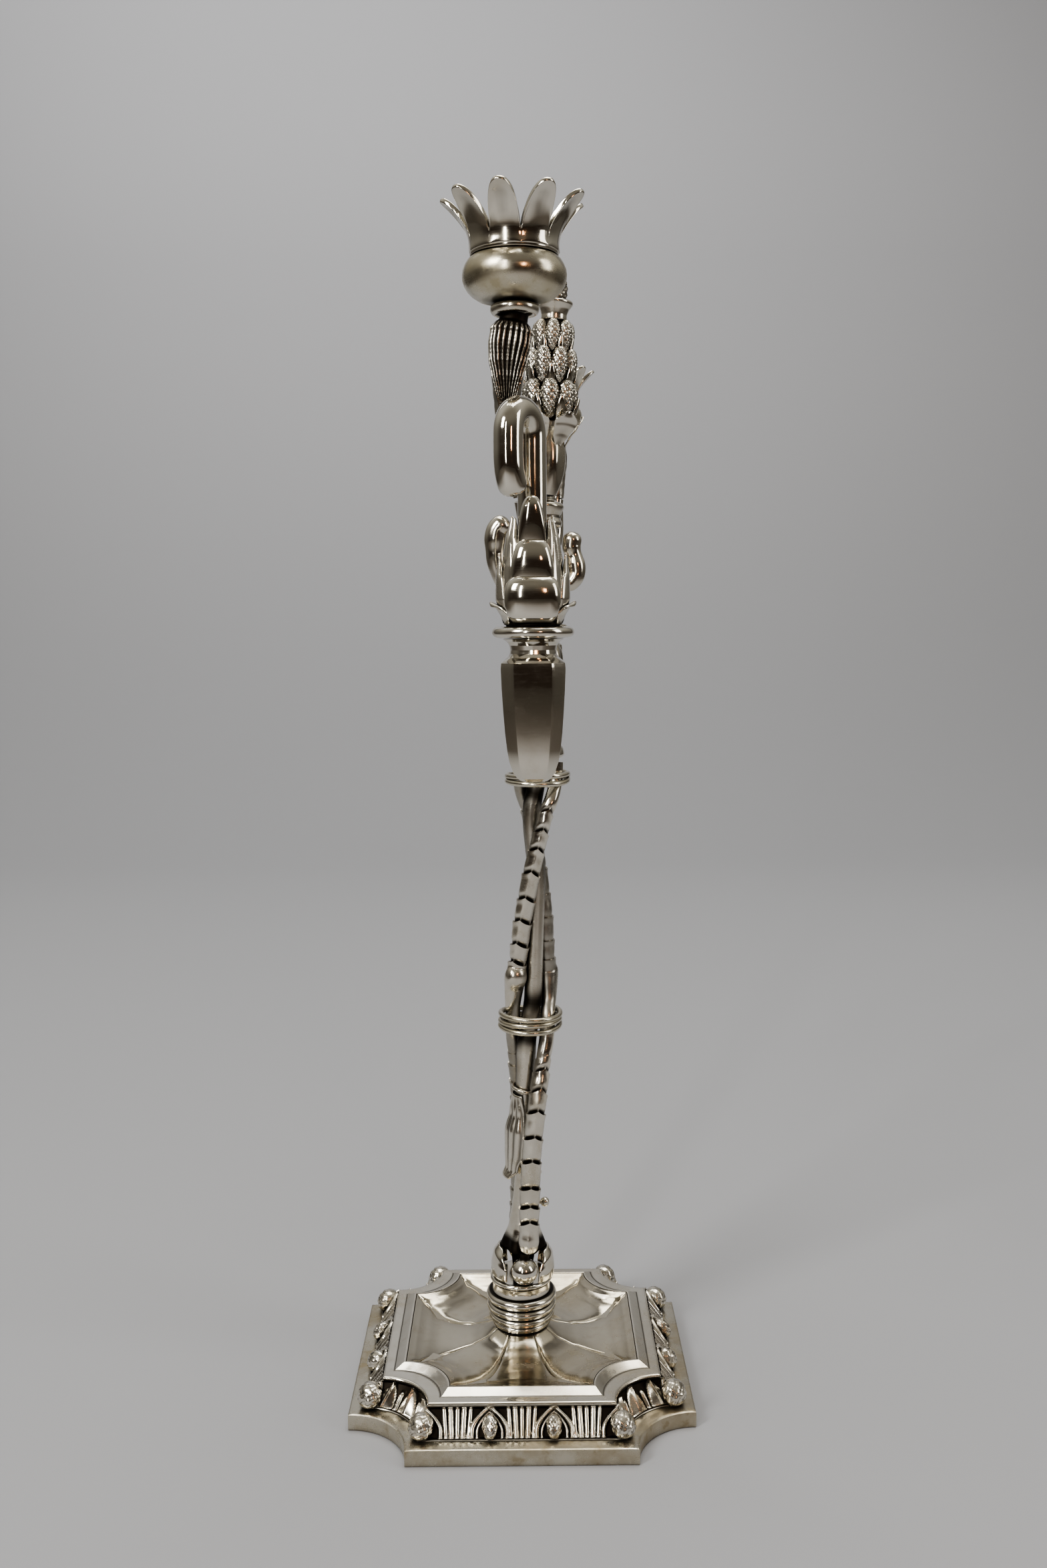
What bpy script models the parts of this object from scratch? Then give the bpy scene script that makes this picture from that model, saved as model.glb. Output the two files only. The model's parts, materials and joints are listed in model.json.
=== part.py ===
"""Two-light silver candelabrum with a square dished foot, a bundled stem and lift-out petal nozzles.

Lengths are in millimetres in the constants and are scaled to metres when a mesh is made.
+Z is up, the foot stands on Z = 0, and the arms reach out along -Y (front) and +Y (rear).
"""
import math

import bmesh
import bpy
from mathutils import Matrix, Vector

MM = 0.001

# ---------------------------------------------------------------- driving dimensions
BASE_HALF = 67.5            # half of the plinth's 135 mm side
PLINTH_T = 6.6
PLINTH_COVE = 23.8          # radius of the hollow corners
RIM_HALF = 53.4
RIM_COVE = 18.5
RIM_TOP = 17.4
FRIEZE_FOOT_HALF = 62.0
STRIP_HALF = 49.5           # raised strip inside the flat rim, sloping up to the dish
STRIP_COVE = 19.3
STRIP_INNER_HALF = 46.3
STRIP_INNER_COVE = 18.3
STRIP_TOP = 19.4
DISH_HALF = 45.7
DISH_COVE = 18.2
DISH_T = 1.5
COLLAR_BOTTOM = 21.0
COLLAR_TOP = 42.3
COLLAR_R = 14.0
BAND_R = 11.6
ROD_R = 2.5                 # tie rod, M5
ROD_BORE = 2.9
BEAD_R = 5.4

STEM_PIVOT = (0.5, 0.0, 42.3)
STEM_LEAN_DEG = 2.2         # the bundle stands a little out of plumb
CORE_TOP = 256.0
STALK_GAP = 0.45            # clearance between a stalk and the core
TIE_R = 11.95               # centre line of the tying wire
TIE_WIRE_R = 1.1
TIE_LOWER_Z = 150.7
TIE_UPPER_Z = 249.4

ARM_CENTRE_X = 9.6
ARM_YAW_DEG = -1.44         # the arms are turned a little on the base
ARM_REACH = 143.0
CUP_DX = -4.6               # the cup stands beside the drop's axis ...
CUP_OUT = 138.0             # ... and a little inside it
FINIAL_PIVOT = (10.3, 0.0, 331.4)
FINIAL_LEAN_DEG = 3.5

PENDANT_BOTTOM = 264.4
DISC_R = 11.95
COLUMN_R = 4.15
CALYX_TOP = 345.0
SCROLL_TOP_R = 6.75         # bend radius of the hook
SCROLL_SPRING = 363.2       # height where the bend starts
SCROLL_END = 347.0
SCROLL_AZ_DEG = 27.5        # the hook's plane is turned this much to the side

BULB_R = 15.0
SEAM_Z = 413.9
SOCKET_R = 11.1             # takes a 22 mm candle
SOCKET_OUT = 11.85
SOCKET_FLOOR = 405.8
PETALS = 9
PETAL_TIP_R = 21.7
PETAL_TIP_Z = 430.6
PETAL_NOTCH_Z = 419.4
PETAL_TURN_DEG = -10.0      # the petals are turned a little from the arm's line

# ---------------------------------------------------------------- scene helpers
for old in list(bpy.data.objects):
    bpy.data.objects.remove(old, do_unlink=True)


def new_collection(name):
    coll = bpy.data.collections.new(name)
    bpy.context.scene.collection.children.link(coll)
    return coll


PARTS = new_collection("candelabrum")
CUTTERS = new_collection("cutters")


def frame(name, location, rotation_deg=(0.0, 0.0, 0.0), size=10.0):
    empty = bpy.data.objects.new(name, None)
    empty.empty_display_size = size * MM
    empty.location = [c * MM for c in location]
    empty.rotation_euler = [math.radians(a) for a in rotation_deg]
    PARTS.objects.link(empty)
    return empty


STEM = frame("stem_frame", STEM_PIVOT, (0.0, STEM_LEAN_DEG, 0.0))
FINIAL = frame("finial_frame", FINIAL_PIVOT, (0.0, FINIAL_LEAN_DEG, 0.0))
ARM_FRONT = frame("arm_frame_front", (ARM_CENTRE_X, 0.0, 0.0), (0.0, 0.0, ARM_YAW_DEG))
ARM_REAR = frame("arm_frame_rear", (ARM_CENTRE_X, 0.0, 0.0), (0.0, 0.0, ARM_YAW_DEG + 180.0))
FRAME_Z = {STEM.name: STEM_PIVOT[2], FINIAL.name: FINIAL_PIVOT[2]}


def finish(name, colour, rough):
    mat = bpy.data.materials.new(name)
    mat.use_nodes = True
    shader = mat.node_tree.nodes["Principled BSDF"]
    shader.inputs["Base Color"].default_value = (*colour, 1.0)
    shader.inputs["Roughness"].default_value = rough
    shader.inputs["Metallic"].default_value = 1.0
    mat.diffuse_color = (*colour, 1.0)
    return mat


SILVER = (0.78, 0.75, 0.69)
DARK_SILVER = (0.42, 0.40, 0.37)
STEEL = (0.50, 0.50, 0.50)


def place(name, data, parent=None, location=(0.0, 0.0, 0.0), colour=SILVER, rough=0.18):
    """Make one named part from a mesh or curve and hang it on its frame."""
    obj = bpy.data.objects.new(name, data)
    PARTS.objects.link(obj)
    if not data.materials:
        data.materials.append(finish(name + "_finish", colour, rough))
    loc = Vector([c * MM for c in location])
    if parent is not None:
        obj.parent = parent
        loc.z -= FRAME_Z.get(parent.name, 0.0) * MM
    obj.location = loc
    return obj


def mesh_from(name, bm, smooth=True, sharp_deg=38.0):
    bmesh.ops.scale(bm, vec=(MM, MM, MM), verts=bm.verts)
    mesh = bpy.data.meshes.new(name)
    bm.to_mesh(mesh)
    bm.free()
    if smooth:
        mesh.shade_smooth()
        mesh.set_sharp_from_angle(angle=math.radians(sharp_deg))
    return mesh


def copy_of(name, source, parent, location=None):
    """A repeated piece: its own object on the same mesh and with the same modifiers."""
    obj = bpy.data.objects.new(name, source.data)
    PARTS.objects.link(obj)
    obj.parent = parent
    obj.location = source.location if location is None else [c * MM for c in location]
    obj.rotation_euler = source.rotation_euler
    for mod in source.modifiers:
        twin = obj.modifiers.new(mod.name, mod.type)
        if mod.type == 'SCREW':
            for key in ("steps", "render_steps", "use_merge_vertices", "merge_threshold", "angle",
                        "use_normal_calculate", "use_smooth_shade"):
                setattr(twin, key, getattr(mod, key))
    return obj


# ---------------------------------------------------------------- shape helpers
def turned(name, profile, steps, closed=False, **kw):
    """A turned piece: the profile (radius, height) runs down its outer side, and Screw spins it about Z."""
    bm = bmesh.new()
    verts = [bm.verts.new((r, 0.0, z)) for r, z in profile]
    for a, b in zip(verts, verts[1:]):
        bm.edges.new((a, b))
    if closed:
        bm.edges.new((verts[-1], verts[0]))
    obj = place(name, mesh_from(name, bm, smooth=False), **kw)
    screw = obj.modifiers.new("turn", 'SCREW')
    screw.steps = steps
    screw.render_steps = steps
    screw.use_merge_vertices = True
    screw.merge_threshold = 0.00001
    screw.use_smooth_shade = True
    return obj


def wire(name, points, radius, radii=None, resolution=2, **kw):
    """A round bar along a line of points, with filled caps; radii are factors of the radius at each point."""
    curve = bpy.data.curves.new(name, 'CURVE')
    curve.dimensions = '3D'
    curve.bevel_depth = radius * MM
    curve.bevel_resolution = resolution
    curve.use_fill_caps = True
    curve.resolution_u = 1
    curve.render_resolution_u = 0
    spline = curve.splines.new('POLY')
    spline.points.add(len(points) - 1)
    for i, p in enumerate(points):
        spline.points[i].co = (p[0] * MM, p[1] * MM, p[2] * MM, 1.0)
        spline.points[i].radius = radii[i] if radii else 1.0
    return place(name, curve, **kw)


def catmull(points, count):
    """Points read evenly from a smooth curve through the given points (any number of coordinates)."""
    pts = [Vector(p) for p in points]
    ext = [pts[0] * 2 - pts[1]] + pts + [pts[-1] * 2 - pts[-2]]
    fine = []
    for i in range(1, len(ext) - 2):
        p0, p1, p2, p3 = ext[i - 1:i + 3]
        for k in range(16):
            t = k / 16.0
            fine.append(0.5 * ((2 * p1) + (p2 - p0) * t + (2 * p0 - 5 * p1 + 4 * p2 - p3) * t * t
                               + (3 * p1 - p0 - 3 * p2 + p3) * t ** 3))
    fine.append(pts[-1])
    run = [0.0]
    for a, b in zip(fine, fine[1:]):
        run.append(run[-1] + (b - a).length)
    out, j = [], 0
    for i in range(count):
        want = run[-1] * i / (count - 1)
        while j < len(run) - 2 and run[j + 1] < want:
            j += 1
        span = run[j + 1] - run[j]
        t = 0.0 if span < 1e-9 else (want - run[j]) / span
        out.append(fine[j].lerp(fine[j + 1], min(1.0, max(0.0, t))))
    return out


def table(rows, x):
    """Smooth value between the rows of a small design table (x rising)."""
    if x <= rows[0][0]:
        return rows[0][1]
    for (x0, y0), (x1, y1) in zip(rows, rows[1:]):
        if x <= x1:
            t = (x - x0) / (x1 - x0)
            t = t * t * (3.0 - 2.0 * t)
            return y0 + (y1 - y0) * t
    return rows[-1][1]


def cove_outline(half, cove, arc_steps=6):
    """A square outline with quarter-round hollows at its corners, anticlockwise from the right side's lower end."""
    pts = []
    for quarter in range(4):
        turn = quarter * math.pi / 2
        for i in range(arc_steps + 1):
            a = -math.pi / 2 - (math.pi / 2) * i / arc_steps
            x = half + cove * math.cos(a)
            y = half + cove * math.sin(a)
            pts.append((x * math.cos(turn) - y * math.sin(turn), x * math.sin(turn) + y * math.cos(turn)))
    return pts


def ring_outline(radius, count, start):
    return [(radius * math.cos(start + 2 * math.pi * i / count), radius * math.sin(start + 2 * math.pi * i / count))
            for i in range(count)]


def loft(rings, closed_loop=False, cap_start=False, cap_end=False):
    """Skin between rings of equal point count; each ring is (list of (x, y), height or list of heights)."""
    bm = bmesh.new()
    rows = []
    for outline, height in rings:
        rows.append([bm.verts.new((p[0], p[1], height if not isinstance(height, (list, tuple)) else height[i]))
                     for i, p in enumerate(outline)])
    pairs = list(zip(rows, rows[1:]))
    if closed_loop:
        pairs.append((rows[-1], rows[0]))
    n = len(rows[0])
    for lower, upper in pairs:
        for i in range(n):
            bm.faces.new((lower[i], lower[(i + 1) % n], upper[(i + 1) % n], upper[i]))
    if cap_start:
        bm.faces.new(list(reversed(rows[0])))
    if cap_end:
        bm.faces.new(rows[-1])
    bmesh.ops.recalc_face_normals(bm, faces=bm.faces)
    return bm


# ---------------------------------------------------------------- base
def plinth():
    section = [  # (half side, cove radius, height) round the slab's section, from the underside outwards
        (BASE_HALF - 0.4, PLINTH_COVE, 0.0), (BASE_HALF, PLINTH_COVE, 0.5),
        (BASE_HALF, PLINTH_COVE, PLINTH_T - 0.6), (BASE_HALF - 0.5, PLINTH_COVE, PLINTH_T),
        (42.0, 14.0, PLINTH_T), (42.0, 14.0, 2.3), (46.3, 15.4, 2.3), (46.3, 15.4, 0.0)]
    bm = loft([(cove_outline(h, c), z) for h, c, z in section], closed_loop=True)
    place("base_plinth", mesh_from("base_plinth", bm, sharp_deg=30), rough=0.30)


def bottom_plate():
    curve = bpy.data.curves.new("base_bottom_plate", 'CURVE')
    curve.dimensions = '2D'
    curve.fill_mode = 'BOTH'
    curve.extrude = 1.0 * MM
    curve.render_resolution_u = 0
    outline = cove_outline(46.0, 15.7)
    spline = curve.splines.new('POLY')
    spline.points.add(len(outline) - 1)
    for i, (x, y) in enumerate(outline):
        spline.points[i].co = (x * MM, y * MM, 0.0, 1.0)
    spline.use_cyclic_u = True
    place("base_bottom_plate", curve, location=(0.0, 0.0, 1.0), rough=0.35)


def frieze():
    section = [  # outer face from the foot up to the rim, then down the inner wall
        (FRIEZE_FOOT_HALF, 22.6, PLINTH_T + 0.3), (FRIEZE_FOOT_HALF - 0.2, 22.4, 8.4),
        (60.2, 21.6, 9.2), (58.0, 20.6, 12.4), (56.6, 20.0, 14.4), (54.4, 19.0, 15.0),
        (RIM_HALF, RIM_COVE, 15.6), (RIM_HALF, RIM_COVE, 16.8), (RIM_HALF - 0.6, RIM_COVE, RIM_TOP),
        (STRIP_HALF, STRIP_COVE, RIM_TOP), (STRIP_INNER_HALF, STRIP_INNER_COVE, STRIP_TOP),
        (46.0, 18.2, STRIP_TOP - 0.4), (46.0, 18.2, PLINTH_T + 0.3)]
    bm = loft([(cove_outline(h, c), z) for h, c, z in section], closed_loop=True)
    place("base_frieze", mesh_from("base_frieze", bm, sharp_deg=30), colour=DARK_SILVER, rough=0.35)


def dish():
    outer = cove_outline(DISH_HALF, DISH_COVE)
    n = len(outer)
    angles = [math.atan2(y, x) for x, y in outer]
    stations = [(4.4, 20.7), (11.4, 20.7), (13.4, 19.2), (17.0, 17.2), (22.0, 15.6), (27.0, 14.8)]

    def surface(drop):
        rings = []
        for r, z in stations:
            rings.append(([(r * math.cos(a), r * math.sin(a)) for a in angles], z - drop))
        for t, z in ((0.35, 14.6), (0.7, 16.4), (1.0, 19.1)):
            ring = []
            for (x, y), a in zip(outer, angles):
                ring.append((27.0 * math.cos(a) * (1 - t) + x * t, 27.0 * math.sin(a) * (1 - t) + y * t))
            rings.append((ring, z - drop))
        return rings

    rings = surface(0.0) + list(reversed(surface(DISH_T)))
    bm = loft(rings, closed_loop=True)
    place("base_dish", mesh_from("base_dish", bm, sharp_deg=50), rough=0.12)


def fixing():
    turned("dish_washer", [(3.0, 18.7), (8.5, 18.7), (8.5, 17.3), (3.0, 17.3)], 16, closed=True,
           parent=STEM, colour=STEEL, rough=0.4)
    bm = bmesh.new()
    bmesh.ops.create_cone(bm, cap_ends=True, segments=16, radius1=ROD_R, radius2=ROD_R, depth=62.0 - 9.0)
    bmesh.ops.translate(bm, verts=bm.verts, vec=(0.0, 0.0, 35.5))
    place("tie_rod", mesh_from("tie_rod", bm), parent=STEM, colour=STEEL, rough=0.4)

    bm = bmesh.new()
    bmesh.ops.create_cone(bm, cap_ends=True, segments=6, radius1=5.3, radius2=5.3, depth=5.0)
    bmesh.ops.translate(bm, verts=bm.verts, vec=(0.0, 0.0, 14.5))
    nut = place("clamp_nut", mesh_from("clamp_nut", bm, smooth=False), parent=STEM, colour=STEEL, rough=0.4)
    bm = bmesh.new()
    bmesh.ops.create_cone(bm, cap_ends=True, segments=16, radius1=ROD_R + 0.35, radius2=ROD_R + 0.35, depth=9.0)
    bmesh.ops.translate(bm, verts=bm.verts, vec=(0.0, 0.0, 14.5))
    cutter = bpy.data.objects.new("nut_bore", mesh_from("nut_bore", bm))
    CUTTERS.objects.link(cutter)
    cutter.parent = STEM
    cutter.location = nut.location
    cutter.hide_render = True
    cutter.display_type = 'WIRE'
    cut = nut.modifiers.new("bore", 'BOOLEAN')
    cut.operation = 'DIFFERENCE'
    cut.solver = 'EXACT'
    cut.object = cutter


def collar():
    ribs = []
    for z, r, half in ((33.9, COLLAR_R, 2.0), (29.7, COLLAR_R - 0.15, 2.0), (25.9, 13.2, 1.7), (22.8, 11.9, 1.3)):
        for dz, dr in ((0.9, -1.2), (0.0, 0.0), (-0.9, -1.2)):
            ribs.append((r + dr, z + dz * half))
    profile = [(3.7, COLLAR_TOP), (BAND_R, COLLAR_TOP), (BAND_R + 0.5, 41.4), (BAND_R + 0.1, 40.2),
               (BAND_R + 0.2, 36.4)] + ribs + [(10.4, COLLAR_BOTTOM), (3.7, COLLAR_BOTTOM)]
    turned("foot_collar", profile, 24, closed=True)


# ---------------------------------------------------------------- foot and stem
def shell_patch(name, rows, half_angle_deg, facing_deg, thick, columns=7, **kw):
    """A curved leaf or plate: part of a turned surface, made thick with Solidify. rows are (radius, height, width)."""
    bm = bmesh.new()
    grid = []
    for r, z, w in rows:
        line = []
        for i in range(columns):
            a = math.radians(facing_deg + half_angle_deg * w * (2.0 * i / (columns - 1) - 1.0))
            line.append(bm.verts.new((r * math.cos(a), r * math.sin(a), z)))
        grid.append(line)
    for low, high in zip(grid, grid[1:]):
        for i in range(columns - 1):
            bm.faces.new((low[i], low[i + 1], high[i + 1], high[i]))
    obj = place(name, mesh_from(name, bm), **kw)
    solid = obj.modifiers.new("thickness", 'SOLIDIFY')
    solid.thickness = thick * MM
    solid.offset = -1.0
    return obj


def foot():
    rows = [(12.3, 42.7, 1.0), (12.5, 46.0, 1.02), (12.0, 50.0, 1.0), (10.2, 54.0, 0.9)]
    shell_patch("foot_leaf_right", rows, 50.0, 0.0, 1.3, parent=STEM)
    shell_patch("foot_leaf_left", rows, 50.0, 180.0, 1.3, parent=STEM)
    bm = bmesh.new()
    bmesh.ops.create_uvsphere(bm, u_segments=14, v_segments=8, radius=BEAD_R)
    ball = mesh_from("foot_bead", bm, sharp_deg=80)
    place("foot_bead_front", ball, parent=STEM, location=(1.0, -9.7, COLLAR_TOP + BEAD_R + 0.4))
    place("foot_bead_rear", ball, parent=STEM, location=(-1.0, 9.7, COLLAR_TOP + BEAD_R + 0.4))
    turned("stem_skirt", [(0.0, 90.0), (4.1, 90.0), (4.5, 82.0), (5.2, 72.0), (6.3, 62.5), (7.6, 56.6), (7.2, 55.2),
                          (3.9, 54.6), (3.9, 42.7), (ROD_BORE, 42.7), (ROD_BORE, 64.0), (0.0, 64.0)], 18, parent=STEM)


CORE_X = [(42.0, 0.0), (90.0, -0.3), (120.0, -1.1), (140.0, -1.3), (150.0, -0.1), (161.0, 0.9), (205.0, 0.9),
          (236.0, -1.9), (250.0, -0.3), (256.0, -0.2)]
CORE_RADIUS = [(90.0, 4.1), (140.0, 4.0), (150.0, 3.5), (161.0, 3.65), (205.0, 3.5), (238.0, 3.7), (250.0, 3.5),
               (256.0, 3.5)]

# the front stalk: height, sideways place from the stem's axis, least distance in front, radius
STALK = [
    (58.4, 2.0, 11.2, 3.7), (61.5, 2.0, 11.4, 4.2), (65.2, 2.0, 11.0, 3.9), (72.0, 1.9, 10.2, 4.1),
    (82.0, 1.9, 10.0, 4.1), (93.0, 2.0, 10.6, 4.0), (103.0, 2.4, 10.7, 3.9), (113.0, 3.2, 10.4, 3.8),
    (121.0, 3.9, 9.4, 3.6), (129.0, 4.9, 6.4, 3.4), (135.0, 5.7, 4.6, 3.1), (142.0, 6.7, 2.4, 3.0),
    (147.0, 7.0, 1.4, 3.0), (153.0, 7.1, 0.4, 2.9), (158.0, 7.2, -1.0, 3.2), (165.0, 6.9, -2.2, 4.0),
    (169.5, 6.4, -2.8, 4.5), (173.5, 6.0, -3.2, 3.7), (182.0, 5.2, -4.4, 3.7), (192.0, 4.4, -5.6, 3.65),
    (201.0, 3.1, -6.6, 3.6), (211.0, 1.6, -7.3, 3.5), (221.0, -0.3, -7.5, 3.3), (228.0, -1.8, -7.4, 3.1),
    (236.0, -3.6, -6.8, 2.9), (242.0, -5.8, -5.0, 2.8), (248.0, -7.1, -1.8, 2.7), (256.0, -7.2, -1.2, 2.7)]


def core_place(z):
    return table(CORE_X, z), table(CORE_RADIUS, max(z, 90.0))


def stalk_points(turn):
    """The stalk that starts in front at the foot (turn 1) passes to the right at the lower tie, behind the core and
    out to the left at the upper tie; turn -1 is the same stalk half a turn round. Each point is pushed off the core
    where it would touch it."""
    pts, radii = [], []
    for z, x, front, radius in STALK:
        cx, cr = core_place(z)
        x, y = x * turn, -front * turn
        if z >= 88.0:
            need = radius + cr + STALK_GAP
            dx = x - cx
            if math.hypot(dx, y) < need:
                y = math.copysign(math.sqrt(max(need * need - dx * dx, 0.0)), y)
        pts.append((x, y, z))
        radii.append(radius)
    return pts, radii


def stem():
    zs = [90.4, 100, 110, 120, 130, 140, 147, 154, 161, 172, 185, 200, 212, 224, 234, 244, CORE_TOP]
    wire("core_rod", [(table(CORE_X, z), 0.0, z) for z in zs], 1.0, [table(CORE_RADIUS, z) for z in zs],
         parent=STEM)
    for name, turn in (("stalk_front", 1), ("stalk_rear", -1)):
        pts, radii = stalk_points(turn)
        wire(name, pts, 1.0, radii, parent=STEM, colour=DARK_SILVER, rough=0.3)


def sheath():
    cx, cr = core_place(121.5)
    ring = bpy.data.curves.new("sheath_ring", 'CURVE')
    ring.dimensions = '3D'
    ring.bevel_depth = 0.75 * MM
    ring.bevel_resolution = 1
    ring.resolution_u = 1
    ring.render_resolution_u = 0
    spline = ring.splines.new('POLY')
    count = 18
    spline.points.add(count - 1)
    for i in range(count):
        a = 2 * math.pi * i / count
        r = cr + 0.75 + 0.35
        spline.points[i].co = ((cx + r * math.cos(a)) * MM, r * math.sin(a) * MM,
                               (121.5 - 0.9 * math.cos(a)) * MM, 1.0)
    spline.use_cyclic_u = True
    place("sheath_ring", ring, parent=STEM)
    rows = [(5.5, 119.2, 0.7), (5.9, 112.0, 0.95), (6.7, 104.0, 1.0), (6.5, 95.0, 0.75), (6.0, 86.0, 0.3)]
    shell_patch("sheath_leaf_left", rows, 50.0, 180.0, 0.9, columns=5, parent=STEM, location=(-0.8, 0.0, 0.0),
                colour=DARK_SILVER, rough=0.35)
    shell_patch("sheath_leaf_right", rows, 40.0, 20.0, 0.9, columns=5, parent=STEM, location=(-0.8, 0.0, 0.0),
                colour=DARK_SILVER, rough=0.35)


def tie(name, turns, z_mid):
    pitch = 2 * TIE_WIRE_R + 0.32
    count = int(turns * 14) + 1
    pts = []
    for i in range(count):
        t = i / (count - 1)
        a = math.radians(70.0) + 2 * math.pi * turns * t
        pts.append((TIE_R * math.cos(a), TIE_R * 0.98 * math.sin(a), z_mid + pitch * turns * (t - 0.5)))
    wire(name, pts, TIE_WIRE_R, resolution=1, parent=STEM)


# ---------------------------------------------------------------- centre
def centre():
    turned("hub", [(0.0, 331.0), (6.2, 331.0), (7.6, 329.0), (9.2, 324.0), (9.0, 317.0), (6.6, 311.0), (6.2, 306.0),
                   (8.8, 299.0), (9.4, 290.0), (8.2, 280.0), (5.8, 272.0), (5.6, 266.0), (9.2, 261.0), (9.6, 258.6),
                   (8.8, 257.4), (0.0, 257.4)], 18, parent=ARM_FRONT)
    left = catmull([(-10.6, 0.0, 322.6), (-14.2, -0.6, 325.6), (-17.6, -1.2, 334.0), (-17.8, -1.6, 343.0),
                    (-16.0, -1.8, 348.6)], 9)
    wire("side_curl_left", left, 1.0, [2.8, 3.0, 3.2, 3.3, 3.5, 3.7, 3.8, 3.9, 3.6], parent=ARM_FRONT)
    right = catmull([(10.4, 0.0, 325.0), (12.8, 0.4, 326.8), (14.6, 0.8, 331.0), (14.0, 1.2, 337.0),
                     (13.0, 1.4, 343.4)], 9)
    wire("side_curl_right", right, 1.0, [2.7, 2.8, 3.0, 3.2, 3.3, 3.4, 3.6, 3.9, 3.4], parent=ARM_FRONT)

    turned("finial_baluster", [(0.0, 359.0), (4.6, 359.0), (4.7, 357.4), (7.4, 356.4), (7.8, 355.4), (6.8, 351.8),
                               (6.6, 350.8), (7.5, 349.4), (7.3, 348.0), (5.4, 346.6), (4.8, 340.0), (6.0, 334.0),
                               (6.0, 331.9), (0.0, 331.9)], 18, parent=FINIAL)
    turned("finial_pod", [(0.0, 387.4), (5.2, 387.4), (6.1, 382.0), (7.0, 375.0), (6.9, 369.0), (5.6, 362.6),
                          (4.4, 359.4), (0.0, 359.4)], 18, parent=FINIAL)
    turned("finial_calyx", [(12.0, 389.6), (12.5, 389.0), (10.6, 384.4), (8.2, 379.6), (7.4, 379.9), (9.6, 385.4),
                            (11.2, 389.2)], 18, closed=True, parent=FINIAL)
    turned("finial_ears", [(0.0, 425.0), (5.2, 425.0), (7.9, 421.0), (8.2, 417.0), (7.2, 413.0), (9.2, 410.0),
                           (9.7, 406.0), (8.6, 401.0), (10.8, 397.0), (10.8, 393.0), (6.8, 388.0), (0.0, 387.8)], 18,
           parent=FINIAL, colour=DARK_SILVER, rough=0.35)
    turned("finial_cap", [(0.0, 443.4), (1.7, 442.6), (3.4, 439.4), (4.3, 435.6), (4.4, 433.0), (6.7, 432.4),
                          (7.0, 431.4), (5.6, 428.4), (5.2, 425.4), (0.0, 425.4)], 18, parent=FINIAL)


# ---------------------------------------------------------------- arms
def both(obj):
    """Copy a front arm's part to the rear arm, half a turn about the vertical."""
    return copy_of(obj.name.replace("_front", "_rear"), obj, ARM_REAR)


def arm_strands():
    lower = catmull([(0.0, -9.9, 287.0), (0.0, -26.0, 280.5), (0.0, -52.0, 277.5), (0.0, -82.0, 284.0),
                     (0.0, -108.0, 300.0), (0.0, -121.0, 312.5), (0.0, -127.5, 316.6),
                     (0.0, -132.6, 318.4)], 15)
    both(wire("arm_lower_front", lower, 3.3, parent=ARM_FRONT))
    upper = catmull([(0.0, -10.0, 297.5), (0.0, -28.0, 293.5), (0.0, -56.0, 292.5), (0.0, -84.0, 302.5),
                     (-0.2, -108.0, 321.0), (-0.8, -124.0, 333.5), (-1.5, -133.4, 340.4), (-2.4, -135.2, 346.2)], 16)
    both(wire("arm_upper_front", upper, 3.0, parent=ARM_FRONT))


def pendant():
    """Eight-sided drop with a broad front facet, drawn in to a round neck under the disc."""
    stations = [  # height, half width, half depth, bluntness of the section (0 octagon, 1 circle)
        (PENDANT_BOTTOM, 2.6, 2.6, 0.0), (265.2, 4.4, 4.4, 0.0), (267.0, 5.9, 5.9, 0.0), (270.5, 7.1, 7.1, 0.0),
        (276.0, 8.1, 8.1, 0.0), (286.0, 8.8, 8.8, 0.0), (297.8, 9.35, 9.35, 0.0), (299.6, 8.9, 8.9, 0.0),
        (300.4, 7.6, 7.6, 0.6), (302.6, 6.6, 6.6, 1.0), (304.6, 7.2, 7.2, 1.0), (306.1, 8.6, 8.6, 1.0)]
    octagon = []
    for z, hw, hd, blunt in stations:
        ring = []
        corner = 0.59          # half width of the broad facets as a share of the half width
        base = [(1.0, -corner), (1.0, corner), (corner, 1.0), (-corner, 1.0), (-1.0, corner), (-1.0, -corner),
                (-corner, -1.0), (corner, -1.0)]
        for i, (cx, cy) in enumerate(base):
            a = math.atan2(cy, cx)
            nx, ny = base[(i + 1) % 8]
            for (px, py) in ((cx, cy), ((cx + nx) / 2, (cy + ny) / 2)):
                b = math.atan2(py, px)
                x = px * (1 - blunt) + math.cos(b) * blunt
                y = py * (1 - blunt) + math.sin(b) * blunt
                ring.append((hw * x, hd * y))
        octagon.append((ring, z))
    bm = loft(octagon, cap_start=True, cap_end=True)
    both(place("pendant_front", mesh_from("pendant_front", bm, sharp_deg=25), parent=ARM_FRONT,
               location=(0.0, -ARM_REACH, 0.0), rough=0.1))


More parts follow.
